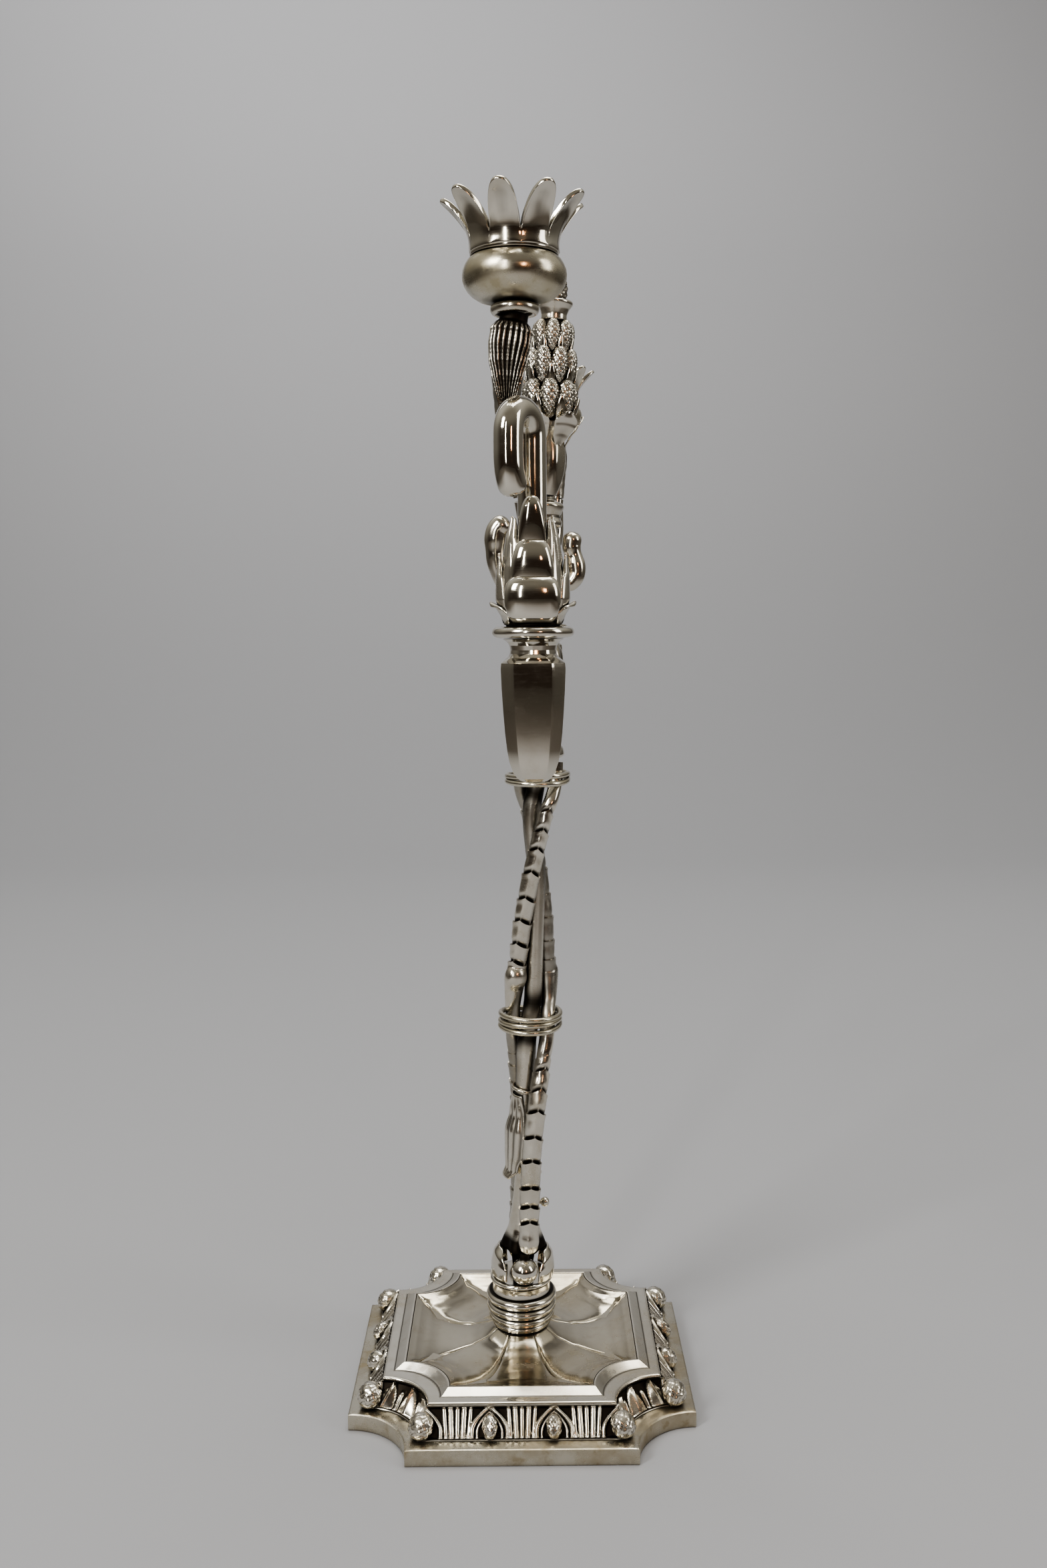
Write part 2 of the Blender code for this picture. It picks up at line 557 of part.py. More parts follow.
def outer_node():
    here = dict(parent=ARM_FRONT, location=(0.0, -ARM_REACH, 0.0))
    both(turned("disc_front", [(0.0, 309.5), (8.4, 309.5), (11.2, 308.9), (DISC_R, 308.0), (11.4, 307.1),
                               (8.6, 306.5), (0.0, 306.5)], 20, **here))
    both(turned("calyx_front", [(4.6, 340.0), (5.6, 340.0), (7.4, 334.0), (8.6, 326.0), (9.0, 319.0), (8.2, 313.0),
                                (8.0, 309.9), (4.6, 309.9)], 16, closed=True, **here))
    az = math.radians(SCROLL_AZ_DEG)
    side = Vector((-math.sin(az), -math.cos(az), 0.0))     # from the column towards the free end
    start = Vector((0.0, -ARM_REACH, 0.0))
    line = [start + Vector((0, 0, z)) for z in (310.1, 325.0, 340.0, 352.0, SCROLL_SPRING)]
    for k in range(1, 8):
        a = math.pi * k / 7
        line.append(start + side * (SCROLL_TOP_R * (1 - math.cos(a)))
                    + Vector((0, 0, SCROLL_SPRING + SCROLL_TOP_R * math.sin(a))))
    foot_at = start + side * (2 * SCROLL_TOP_R)
    for z, pull in ((357.0, 0.0), (351.5, -0.2), (348.4, -0.5), (SCROLL_END, -0.8)):
        line.append(foot_at + side * pull + Vector((0, 0, z)))
    factors = [1.0] * (len(line) - 2) + [0.9, 0.55]
    both(wire("scroll_front", [tuple(p) for p in line], COLUMN_R, factors, parent=ARM_FRONT))


def cup():
    low = catmull([(-2.7, -135.4, 347.5), (-4.0, -136.0, 353.0), (-6.2, -136.6, 362.0), (-7.2, -137.0, 369.6)], 6)
    both(wire("cup_stem_front", low, 1.0, [3.0, 3.0, 3.1, 3.1, 3.2, 3.3], parent=ARM_FRONT))
    high = catmull([(-7.2, -137.0, 370.0), (-7.0, -137.4, 378.0), (-6.6, -137.7, 386.0), (-5.6, -137.9, 393.0),
                    (-4.7, -138.0, 398.6)], 9)
    both(wire("cup_leaf_front", high, 1.0, [3.3, 3.9, 4.7, 5.4, 5.9, 5.7, 4.9, 4.1, 4.1], parent=ARM_FRONT,
              colour=DARK_SILVER, rough=0.35))
    here = dict(parent=ARM_FRONT, location=(CUP_DX, -CUP_OUT, 0.0))
    both(turned("cup_collar_front", [(0.0, 401.2), (6.0, 401.2), (7.0, 400.3), (7.1, 399.2), (6.5, 398.2),
                                     (4.9, 398.2), (4.9, 399.7), (0.0, 399.7)], 16, **here))
    both(turned("cup_bulb_front", [(0.0, 404.4), (12.2, 404.4), (12.2, SEAM_Z), (12.9, SEAM_Z), (14.4, 412.0),
                                   (BULB_R, 409.2), (14.5, 406.3), (12.6, 403.6), (9.0, 401.9), (5.8, 401.5),
                                   (0.0, 401.5)], 20, rough=0.3, **here))
    both(nozzle(here))


def flare(z):
    """Radius of the petals' outer face at a height."""
    return table([(414.0, 12.7), (418.5, 12.6), (421.5, 13.3), (424.5, 14.9), (427.5, 17.4), (PETAL_TIP_Z, PETAL_TIP_R)], z)


def nozzle(here):
    """Socket, neck and nine pointed petals in one piece."""
    per = 4
    n = PETALS * per
    rows = []
    angles = [math.radians(PETAL_TURN_DEG - 90.0) + 2 * math.pi * i / n for i in range(n)]
    tops = []
    for i in range(n):
        s = abs(((i + per / 2) % per) - per / 2) / (per / 2)      # 0 at a petal's middle, 1 at the notch
        tops.append(PETAL_TIP_Z - (PETAL_TIP_Z - PETAL_NOTCH_Z) * s ** 1.35)

    def circle(r, z):
        return ([(r * math.cos(a), r * math.sin(a)) for a in angles], z)

    def petal_row(share, inset):
        zs = [418.5 + (top - 418.5) * share for top in tops]
        return ([((flare(z) - inset) * math.cos(a), (flare(z) - inset) * math.sin(a)) for a, z in zip(angles, zs)],
                [z for z in zs])

    rows = [circle(SOCKET_OUT - 1.0, SOCKET_FLOOR - 1.0), circle(SOCKET_OUT, SOCKET_FLOOR), circle(SOCKET_OUT, SEAM_Z + 0.4),
            circle(12.7, SEAM_Z + 0.4), circle(12.6, 418.5), petal_row(0.5, 0.0), petal_row(1.0, 0.0),
            petal_row(1.0, 0.9), petal_row(0.5, 1.1), circle(SOCKET_R, 418.5), circle(SOCKET_R, SOCKET_FLOOR)]
    bm = loft(rows, cap_start=True, cap_end=True)
    return place("nozzle_front", mesh_from("nozzle_front", bm, sharp_deg=40), rough=0.12, **here)


plinth()
bottom_plate()
frieze()
dish()
fixing()
collar()
foot()
stem()
sheath()
tie("tie_lower", 3, TIE_LOWER_Z)
tie("tie_upper", 2, TIE_UPPER_Z)
centre()
arm_strands()
pendant()
outer_node()
cup()
bpy.context.view_layer.update()
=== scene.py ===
"""Looks for the two-light silver candelabrum. Lengths are millimetres until a mesh is made."""
import bpy
import bmesh
import json
import math
from mathutils import Matrix, Vector, noise

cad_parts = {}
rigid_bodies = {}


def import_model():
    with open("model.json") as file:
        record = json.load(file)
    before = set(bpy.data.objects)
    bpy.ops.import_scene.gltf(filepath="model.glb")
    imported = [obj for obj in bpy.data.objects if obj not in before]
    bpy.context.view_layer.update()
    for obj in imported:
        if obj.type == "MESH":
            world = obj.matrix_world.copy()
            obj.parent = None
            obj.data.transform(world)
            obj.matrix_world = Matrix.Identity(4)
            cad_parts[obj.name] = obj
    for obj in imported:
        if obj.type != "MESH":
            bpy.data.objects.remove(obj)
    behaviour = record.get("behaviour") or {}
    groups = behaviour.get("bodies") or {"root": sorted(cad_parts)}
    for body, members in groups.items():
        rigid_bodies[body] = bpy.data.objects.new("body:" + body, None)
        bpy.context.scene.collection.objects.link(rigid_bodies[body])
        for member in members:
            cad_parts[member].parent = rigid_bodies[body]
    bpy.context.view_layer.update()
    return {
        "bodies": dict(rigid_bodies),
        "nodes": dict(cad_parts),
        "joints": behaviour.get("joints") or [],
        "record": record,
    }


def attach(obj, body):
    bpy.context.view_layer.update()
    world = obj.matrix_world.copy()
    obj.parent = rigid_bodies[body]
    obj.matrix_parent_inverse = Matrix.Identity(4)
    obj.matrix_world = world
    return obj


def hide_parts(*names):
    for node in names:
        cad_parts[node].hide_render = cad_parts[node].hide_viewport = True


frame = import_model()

MM = 0.001
PI = math.pi
T = Matrix.Translation
R = Matrix.Rotation


def lean(pivot, deg):
    return T(Vector(pivot)) @ R(math.radians(deg), 4, 'Y') @ T(Vector((0, 0, -pivot[2])))


WORLD = Matrix.Identity(4)
STEM = lean((0.5, 0.0, 42.3), 2.2)
FINIAL = lean((10.3, 0.0, 331.4), 3.5)
ARMS = {"front": T(Vector((9.6, 0, 0))) @ R(math.radians(-1.44), 4, 'Z'),
        "rear": T(Vector((9.6, 0, 0))) @ R(math.radians(178.56), 4, 'Z')}
NODE_AT = T(Vector((0, -143.0, 0)))
CUP_AT = T(Vector((-4.6, -138.0, 0)))


# ------------------------------------------------------------------ materials
def silver(name, light=(0.74, 0.705, 0.62), warm=(0.47, 0.405, 0.285), dark=(0.020, 0.016, 0.012), rough=0.12,
           tarnish=0.45, patch=28.0, crevice=1.0, ao_mm=2.2, bump=0.12, grain=0.10):
    """Aged silver: polished metal, warm tarnish in patches, black where the vertex darkening is high (oxide in the
    hollows, painted shade in places), and painted shade from ambient occlusion in tight corners.
    """
    mat = bpy.data.materials.new(name)
    mat.use_nodes = True
    nt = mat.node_tree
    nt.nodes.clear()
    n, l = nt.nodes.new, nt.links.new
    out = n("ShaderNodeOutputMaterial")
    bsdf = n("ShaderNodeBsdfPrincipled")
    bsdf.inputs["Metallic"].default_value = 1.0
    l(bsdf.outputs[0], out.inputs[0])
    tc = n("ShaderNodeTexCoord")

    def tex(scale, detail, rough_=0.55, stretch=(1, 1, 1), offset=(0, 0, 0)):
        mp = n("ShaderNodeMapping")
        mp.inputs["Scale"].default_value = stretch
        mp.inputs["Location"].default_value = offset
        l(tc.outputs["Object"], mp.inputs[0])
        t = n("ShaderNodeTexNoise")
        t.inputs["Scale"].default_value = scale
        t.inputs["Detail"].default_value = detail
        t.inputs["Roughness"].default_value = rough_
        l(mp.outputs[0], t.inputs["Vector"])
        return t

    def ramp(src, a, b, lo=0.0, hi=1.0):
        r = n("ShaderNodeMapRange")
        r.interpolation_type = 'SMOOTHSTEP'
        r.inputs["From Min"].default_value = a
        r.inputs["From Max"].default_value = b
        r.inputs["To Min"].default_value = lo
        r.inputs["To Max"].default_value = hi
        l(src, r.inputs["Value"])
        return r.outputs[0]

    def math_(op, a, b):
        m = n("ShaderNodeMath")
        m.operation = op
        for i, v in enumerate((a, b)):
            if isinstance(v, (int, float)):
                m.inputs[i].default_value = v
            else:
                l(v, m.inputs[i])
        m.use_clamp = op in ("ADD", "MAXIMUM", "MULTIPLY")
        return m.outputs[0]

    def mix(fac, a, b):
        m = n("ShaderNodeMix")
        m.data_type = 'RGBA'
        l(fac, m.inputs[0])
        for i, v in ((6, a), (7, b)):
            if isinstance(v, tuple):
                m.inputs[i].default_value = (*v, 1.0)
            else:
                l(v, m.inputs[i])
        return m.outputs[2]

    big = tex(patch, 5.0, 0.6)
    cloud = tex(patch * 4.5, 4.0, 0.65, offset=(0.3, 0.1, 0.7))
    fine = tex(1400.0, 3.0, 0.6)
    streak = tex(260.0, 4.0, 0.7, stretch=(1.0, 1.0, 9.0))
    ox_and_shade = n("ShaderNodeAttribute")
    ox_and_shade.attribute_name = "ox_and_shade"
    # painted shade: ambient occlusion darkens the colour towards black, and roughens it, in tight corners and crevices
    ao = n("ShaderNodeAmbientOcclusion")
    ao.samples = 6
    ao.inputs["Distance"].default_value = ao_mm * MM
    ao_painted_shade = ramp(ao.outputs["AO"], 0.72, 0.18, 0.0, 0.85 * crevice)
    patches = math_('MULTIPLY', ramp(big.outputs[0], 0.38, 0.68), tarnish)
    patches = math_('ADD', patches, math_('MULTIPLY', ramp(cloud.outputs[0], 0.5, 0.75), tarnish * 0.6))
    # the darkening joins the vertex darkening (oxide in the hollows, painted shade in places) with the painted
    # ambient-occlusion shade
    oxide_and_shade = math_('MAXIMUM', ramp(ox_and_shade.outputs["Fac"], 0.12, 0.85), ao_painted_shade)
    col = mix(patches, light, warm)
    speck = ramp(fine.outputs[0], 0.62, 0.78, 0.0, 0.10)
    col = mix(speck, col, (0.35, 0.30, 0.24))
    col = mix(oxide_and_shade, col, dark)
    l(col, bsdf.inputs["Base Color"])
    ro = ramp(cloud.outputs[0], 0.3, 0.8, rough * 0.75, rough * 1.5)
    ro = math_('ADD', ro, math_('MULTIPLY', patches, 0.22))
    ro = math_('ADD', ro, ramp(streak.outputs[0], 0.45, 0.75, 0.0, 0.06))
    ro = math_('ADD', ro, math_('MULTIPLY', oxide_and_shade, 0.30))
    l(ro, bsdf.inputs["Roughness"])
    bm = n("ShaderNodeBump")
    bm.inputs["Strength"].default_value = bump
    bm.inputs["Distance"].default_value = 0.00006
    h = math_('ADD', math_('MULTIPLY', fine.outputs[0], grain), math_('MULTIPLY', cloud.outputs[0], 0.9))
    l(h, bm.inputs["Height"])
    l(bm.outputs[0], bsdf.inputs["Normal"])
    return mat


POLISHED = silver("silver_polished_mat")
MIRROR = silver("silver_mirror_mat", rough=0.08, tarnish=0.32, crevice=0.95)
WORN = silver("silver_worn_mat", light=(0.62, 0.585, 0.49), warm=(0.40, 0.34, 0.235), rough=0.20, tarnish=0.85, patch=45.0)
SATIN = silver("silver_satin_mat", light=(0.70, 0.665, 0.57), warm=(0.50, 0.445, 0.31), rough=0.16, tarnish=0.75, patch=38.0)
# oxide in the hollows plus stronger painted shade: the ambient-occlusion darkening reaches further and goes darker
OXIDISED_SHADED = silver("silver_oxidised_shaded_mat", light=(0.78, 0.745, 0.66), warm=(0.48, 0.415, 0.30), rough=0.15, tarnish=0.45,
                  crevice=1.15, ao_mm=4.5)
DISH = silver("silver_dish_mat", light=(0.62, 0.575, 0.475), warm=(0.44, 0.375, 0.26), rough=0.13, tarnish=0.55, patch=22.0)
STEEL = silver("steel_fixing_mat", light=(0.50, 0.50, 0.51), warm=(0.30, 0.25, 0.20), dark=(0.05, 0.04, 0.035), rough=0.34,
               tarnish=0.6, patch=60.0)


# ------------------------------------------------------------------ geometry helpers
class Geo:
    """Collects skinned grids into one mesh. A point is (x, y, z) or (x, y, z, darkening); the darkening is oxide in the
    hollows, and painted shade on the stalk and rod flanks and on the tie wires.
    """

    def __init__(self):
        self.v, self.f, self.o = [], [], []

    def point(self, p):
        self.v.append((p[0], p[1], p[2]))
        self.o.append(p[3] if len(p) > 3 else 0.0)
        return len(self.v) - 1

    def grid(self, rows, around=True, loop=False, cap0=False, cap1=False, M=None):
        ids = []
        for row in rows:
            line = []
            for p in row:
                if M is not None:
                    q = M @ Vector(p[:3])
                    p = (q.x, q.y, q.z, p[3] if len(p) > 3 else 0.0)
                line.append(self.point(p))
            ids.append(line)
        pairs = list(zip(ids, ids[1:]))
        if loop:
            pairs.append((ids[-1], ids[0]))
        for a, b in pairs:
            n = len(a)
            for i in range(n if around else n - 1):
                j = (i + 1) % n
                self.f.append((a[i], a[j], b[j], b[i]))
        for flag, line, rev in ((cap0, ids[0], True), (cap1, ids[-1], False)):
            if flag:
                c = [sum(self.v[i][k] for i in line) / len(line) for k in range(3)]
                mid = self.point((*c, sum(self.o[i] for i in line) / len(line)))
                for i in range(len(line)):
                    j = (i + 1) % len(line)
                    self.f.append((line[j], line[i], mid) if rev else (line[i], line[j], mid))
        return self


def make(name, geo, M, body, nodes, mat, sharp=40.0, solid=None, subsurf=0, bevel=None):
    mesh = bpy.data.meshes.new(name)
    mesh.from_pydata([tuple((M @ Vector(v)) * MM) for v in geo.v], [], geo.f)
    # the darkening of each point: oxide in the hollows, and painted shade on the stalk and rod flanks and on the tie
    # wires
    att = mesh.attributes.new("ox_and_shade", 'FLOAT', 'POINT')
    att.data.foreach_set("value", [float(min(1.0, max(0.0, o))) for o in geo.o])
    bm = bmesh.new()
    bm.from_mesh(mesh)
    bmesh.ops.remove_doubles(bm, verts=bm.verts, dist=0.000004)
    bmesh.ops.recalc_face_normals(bm, faces=bm.faces)
    bm.to_mesh(mesh)
    bm.free()
    mesh.shade_smooth()
    mesh.set_sharp_from_angle(angle=math.radians(sharp))
    mesh.materials.append(mat)
    obj = bpy.data.objects.new(name, mesh)
    bpy.context.scene.collection.objects.link(obj)
    if solid:
        s = obj.modifiers.new("thickness", 'SOLIDIFY')
        s.thickness = solid * MM
        s.offset = 0.0
        s.use_even_offset = False
    if bevel:
        b = obj.modifiers.new("edges", 'BEVEL')
        b.width = bevel * MM
        b.segments = 2
        b.limit_method = 'ANGLE'
        b.angle_limit = math.radians(20)
    if subsurf:
        s = obj.modifiers.new("smooth", 'SUBSURF')
        s.levels = s.render_levels = subsurf
    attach(obj, body)
    if nodes:
        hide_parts(*nodes)
    return obj


def catmull(points, count):
    pts = [Vector(p) for p in points]
    ext = [pts[0] * 2 - pts[1]] + pts + [pts[-1] * 2 - pts[-2]]
    fine = []
    for i in range(1, len(ext) - 2):
        p0, p1, p2, p3 = ext[i - 1:i + 3]
        for k in range(16):
            t = k / 16.0
            fine.append(0.5 * ((2 * p1) + (p2 - p0) * t + (2 * p0 - 5 * p1 + 4 * p2 - p3) * t * t
                               + (3 * p1 - p0 - 3 * p2 + p3) * t ** 3))
    fine.append(pts[-1])
    run = [0.0]
    for a, b in zip(fine, fine[1:]):
        run.append(run[-1] + (b - a).length)
    out, j = [], 0
    for i in range(count):
        want = run[-1] * i / (count - 1)
        while j < len(run) - 2 and run[j + 1] < want:
            j += 1
        span = run[j + 1] - run[j]
        t = 0.0 if span < 1e-9 else (want - run[j]) / span
        out.append(fine[j].lerp(fine[j + 1], min(1.0, max(0.0, t))))
    return out


def table(rows, x):
    if x <= rows[0][0]:
        return rows[0][1]
    for (x0, y0), (x1, y1) in zip(rows, rows[1:]):
        if x <= x1:
            t = (x - x0) / (x1 - x0)
            t = t * t * (3.0 - 2.0 * t)
            return y0 + (y1 - y0) * t
    return rows[-1][1]


def smooth(a, b, x):
    t = min(1.0, max(0.0, (x - a) / (b - a)))
    return t * t * (3 - 2 * t)


def rounded(profile, radius=0.5, steps=3):
    """Profile with each inner corner replaced by a small arc."""
    out = [profile[0]]
    for a, b, c in zip(profile, profile[1:], profile[2:]):
        A, B, C = Vector(a[:2]), Vector(b[:2]), Vector(c[:2])
        r = min(radius, (A - B).length * 0.45, (C - B).length * 0.45)
        p, q = B + (A - B).normalized() * r, B + (C - B).normalized() * r
        for k in range(steps + 1):
            t = k / steps
            w = p.lerp(B, t).lerp(B.lerp(q, t), t)
            out.append((w.x, w.y))
    out.append(profile[-1])
    return out


def rev(geo, profile, steps, M=None, mod=None, ox_and_shade=None, loop=False, cap=False):
    """Turned surface. mod(angle, radius, z) gives a change of radius, ox(angle, z) the oxide."""
    rows = []
    for r, z in profile:
        row = []
        for i in range(steps):
            a = 2 * PI * i / steps
            rr = r + (mod(a, r, z) if mod else 0.0)
            row.append((rr * math.cos(a), rr * math.sin(a), z, ox_and_shade(a, z) if ox_and_shade else 0.0))
        rows.append(row)
    geo.grid(rows, loop=loop, cap0=cap, cap1=cap, M=M)
    return geo


def tube(geo, pts, radii, sides, ref, shape=None, cap=True, M=None, flat=(1.0, 1.0)):
    """A bar along points. ref(point, tangent) or a vector is where angle 0 faces; shape(i, t, a) -> (factor,
    darkening), the darkening being oxide and, on the rod and ties, painted shade.
    """
    rows, n = [], len(pts)
    for i, p in enumerate(pts):
        t = (pts[min(i + 1, n - 1)] - pts[max(i - 1, 0)]).normalized()
        f = Vector(ref(p, t)) if callable(ref) else Vector(ref)
        f = (f - t * f.dot(t)).normalized()
        b = t.cross(f)
        row = []
        for k in range(sides):
            a = 2 * PI * k / sides
            g, o = shape(i, i / (n - 1), a) if shape else (1.0, 0.0)
            q = p + (f * math.cos(a) * flat[0] + b * math.sin(a) * flat[1]) * radii[i] * g
            row.append((q.x, q.y, q.z, o))
        rows.append(row)
    geo.grid(rows, cap0=cap, cap1=cap, M=M)
    return geo


def round_ends(pts, radii, start=True, end=True, steps=5):
    """Adds half-round ends to a bar."""
    pts, radii = list(pts), list(radii)
    if start:
        d = (pts[0] - pts[1]).normalized()
        add = [(pts[0] + d * radii[0] * math.sin(k * PI / 2 / steps) * 0.8, radii[0] * max(0.05, math.cos(k * PI / 2 / steps)))
               for k in range(1, steps + 1)]
        pts = [p for p, _ in reversed(add)] + pts
        radii = [r for _, r in reversed(add)] + radii
    if end:
        d = (pts[-1] - pts[-2]).normalized()
        add = [(pts[-1] + d * radii[-1] * math.sin(k * PI / 2 / steps) * 0.8, radii[-1] * max(0.05, math.cos(k * PI / 2 / steps)))
               for k in range(1, steps + 1)]
        pts += [p for p, _ in add]
        radii += [r for _, r in add]
    return pts, radii


def scaled_egg(geo, M, rx, ry, h, around, rows, steps=40, lift=0.16, dark=0.9):
    """An egg covered with overlapping pointed scales; h is the half height, its axis is Z."""
    levels = max(14, rows * 6)
    grid = []
    for j in range(levels + 1):
        v = j / levels
        lat = -PI / 2 + PI * v
        row = []
        for i in range(steps):
            a = 2 * PI * i / steps
            u = around * a / (2 * PI)
            w = v * rows
            p, q = (u + w) % 1.0, (u - w) % 1.0
            q = 1.0 - q
            edge = min(p, 1 - p, q, 1 - q)
            hgt = (1 - math.exp(-edge * 9)) * (0.45 + 0.55 * (1 - 0.5 * (p + q)))
            fade = math.sin(PI * min(1, max(0, v))) ** 0.5
            k = 1.0 + lift * (hgt - 0.45) * fade
            o = dark * max(0.0, 1 - edge * 7) * fade
            c = math.cos(lat) ** 0.85 if abs(math.cos(lat)) > 1e-6 else 0.0
            row.append((rx * c * k * math.cos(a), ry * c * k * math.sin(a), h * math.sin(lat), o))
        grid.append(row)
    geo.grid(grid, M=M)
    return geo


# ------------------------------------------------------------------ base
def outline(half, cove, side_steps, arc_steps):
    """Square with quarter-round hollows; gives (x, y, nx, ny, place) with place = (kind, side, amount in mm)."""
    pts = []
    for q in range(4):
        c, s = math.cos(q * PI / 2), math.sin(q * PI / 2)
        run = half - cove
        for i in range(side_steps):
            x = -run + 2 * run * i / side_steps
            px, py, nx, ny = x, -half, 0.0, -1.0
            pts.append((px * c - py * s, px * s + py * c, nx * c - ny * s, nx * s + ny * c, ("side", q, x / run)))
        for i in range(arc_steps):
            t = i / arc_steps
            a = PI - (PI / 2) * t
            px, py = half + cove * math.cos(a), -half + cove * math.sin(a)
            nx, ny = -math.cos(a), -math.sin(a)
            pts.append((px * c - py * s, px * s + py * c, nx * c - ny * s, nx * s + ny * c, ("arc", q, t)))
    return pts


def ring_of(half, cove, z, side=40, arc=28, ox_and_shade=0.0):
    return [(p[0], p[1], z, ox_and_shade) for p in outline(half, cove, side, arc)]


def plinth():
    sec = [(67.0, 23.8, 0.0), (67.35, 23.8, 0.15), (67.5, 23.8, 0.6), (67.5, 23.8, 5.7), (67.42, 23.85, 6.25), (67.15, 23.95, 6.5),
           (66.7, 24.1, 6.6), (60.0, 20.0, 6.6), (42.0, 14.0, 6.6), (42.0, 14.0, 2.3), (46.3, 15.4, 2.3), (46.3, 15.4, 0.0)]
    g = Geo()
    g.grid([ring_of(h, c, z) for h, c, z in sec], loop=True)
    make("base_plinth_detail", g, WORLD, "stand", ["base_plinth"], WORN, sharp=32)


def hood(x, v, centre, wide, top, start=2.6, power=1.9):
    """Distance (mm) from a pointed arch and whether the place is inside it."""
    dx = abs(x - centre)
    if v < start:
        a = wide
        slope = 0.0
    else:
        k = (v - start) / (top - start)
        if k >= 1.0:
            return math.hypot(dx, (v - top)), False
        a = wide * (1 - k ** power)
        slope = power * wide * k ** (power - 1.0) / (top - start)
    return abs(dx - a) / math.sqrt(1 + slope * slope), dx < a


def bar(d, w):
    """A round-topped bar of half width w: 1 in the middle, 0 outside."""
    return math.sqrt(max(0.0, 1.0 - (d / w) ** 2))


def relief(place, v, run, arc_len):
    """Height (mm) and oxide of the border's ornament. v runs from 0 at the foot to 12 under the lip."""
    kind, _, t = place
    env = smooth(-0.2, 0.8, v) * smooth(12.3, 11.8, v)
    h = 0.0
    if kind == "side":
        x = t * run
        items = []
        for c in (-12.2, 12.2):
            d, inside = hood(x, v, c, 6.7, 11.9)
            items.append(2.0 * bar(d, 0.95))
            d, inside = hood(x, v, c, 4.7, 10.0, 2.2)
            items.append(1.35 * bar(d, 0.7))
        for c in (-37.4, 37.4):
            d, inside = hood(x, v, c, 6.7, 11.9)
            items.append(1.9 * bar(d, 0.95))
        for mid in (-24.4, 0.0, 24.4):
            for c, w, up in ((0.0, 0.95, 1.15), (-2.3, 1.12, 1.8), (2.3, 1.12, 1.8), (-4.5, 0.9, 1.25), (4.5, 0.9, 1.25)):
                bend = 0.018 * c * (v - 4.0)
                items.append(up * bar(abs(x - mid - c - bend), w) * smooth(12.4, 11.2, v))
        h = max(items)
    else:
        s = t * arc_len
        best = 0.0
        for c in (0.19, 0.5, 0.81):
            d = abs(s - c * arc_len)
            top = 11.8
            w = 4.1 * max(0.0, 1 - (v / top) ** 1.7) ** 0.75 if v < top else 0.0
            if w > 0.05 and d < w:
                keel = 1 - d / w
                best = max(best, 0.7 + 2.0 * keel ** 0.75 + 0.5 * bar(d, 0.5))
        for c in (0.345, 0.655):
            best = max(best, 1.3 * bar(abs(s - c * arc_len), 0.9) * smooth(9.5, 6.5, v))
        for c in (0.0, 1.0):
            d = abs(abs(s - c * arc_len) - 3.4 * (1 - (v / 11.5) ** 2 if v < 11.5 else 0))
            best = max(best, 1.6 * bar(d, 0.9))
        h = best
    h *= env
    ox_and_shade = (1 - smooth(0.25, 0.95, h)) * smooth(12.4, 11.9, v)
    return h, ox_and_shade


def frieze():
    prof = []                      # (half, cove, z) of the bare face from the foot to under the lip
    n = 56
    for i in range(n + 1):
        t = i / n
        half = 61.5 - 6.6 * t ** 1.08
        prof.append((half, 22.5 - 3.5 * t, 7.2 + 9.0 * t ** 0.95))
    g = Geo()
    side, arc = 260, 96
    rows = [ring_of(61.9, 22.6, 6.62, side, arc, 0.7), ring_of(62.0, 22.6, 6.85, side, arc, 0.2), ring_of(61.8, 22.5, 7.1, side, arc, 0.6)]
    for i, (half, cove, z) in enumerate(prof):
        v = 12.0 * i / n
        row = []
        for x, y, nx, ny, place in outline(half, cove, side, arc):
            h, ox_and_shade = relief(place, v, half - cove, cove * PI / 2)
            h -= 1.5 * smooth(0.0, 0.9, v) * smooth(12.0, 11.2, v)
            row.append((x + nx * h * 0.78, y + ny * h * 0.78, z + h * 0.5, ox_and_shade))
        rows.append(row)
    lip = [(54.6, 18.9, 16.35, 0.7), (54.45, 18.7, 16.5, 0.3), (54.5, 18.62, 16.75, 0.0), (54.35, 18.6, 17.1, 0.0), (54.0, 18.6, 17.35, 0.0),
           (53.5, 18.65, 17.42, 0.0), (51.0, 19.1, 17.42, 0.0), (50.6, 19.2, 17.45, 0.5), (50.3, 19.25, 17.55, 0.7), (49.7, 19.3, 17.75, 0.0),
           (46.9, 18.45, 19.40, 0.0), (46.45, 18.35, 19.5, 0.0), (46.1, 18.3, 19.4, 0.1), (45.9, 18.2, 18.9, 0.5)]
    for half, cove, z, ox_and_shade in lip:
        rows.append(ring_of(half, cove, z, side, arc, ox_and_shade))
    rows.append(ring_of(45.9, 18.2, 6.62, side, arc))
    g.grid(rows, loop=True)
    make("base_frieze_detail", g, WORLD, "stand", ["base_frieze"], OXIDISED_SHADED, sharp=55)

    cones = Geo()
    for q in range(4):
        turn = R(q * PI / 2, 4, 'Z')
        for c in (-12.2, 12.2):
            M = turn @ T(Vector((c, -59.4, 10.75))) @ R(math.radians(-36), 4, 'X') @ R(math.radians(20 * c), 4, 'Z')
            scaled_egg(cones, M, 3.8, 2.7, 4.5, 7, 4, lift=0.24)
        for sgn in (-1, 1):
            M = turn @ T(Vector((sgn * 38.0, -59.4, 11.3))) @ R(math.radians(sgn * 45), 4, 'Z') @ R(math.radians(-33), 4, 'X')
            scaled_egg(cones, M, 4.8, 4.3, 5.1, 8, 4, lift=0.22)
    make("base_cones", cones, WORLD, "stand", [], OXIDISED_SHADED, sharp=60)


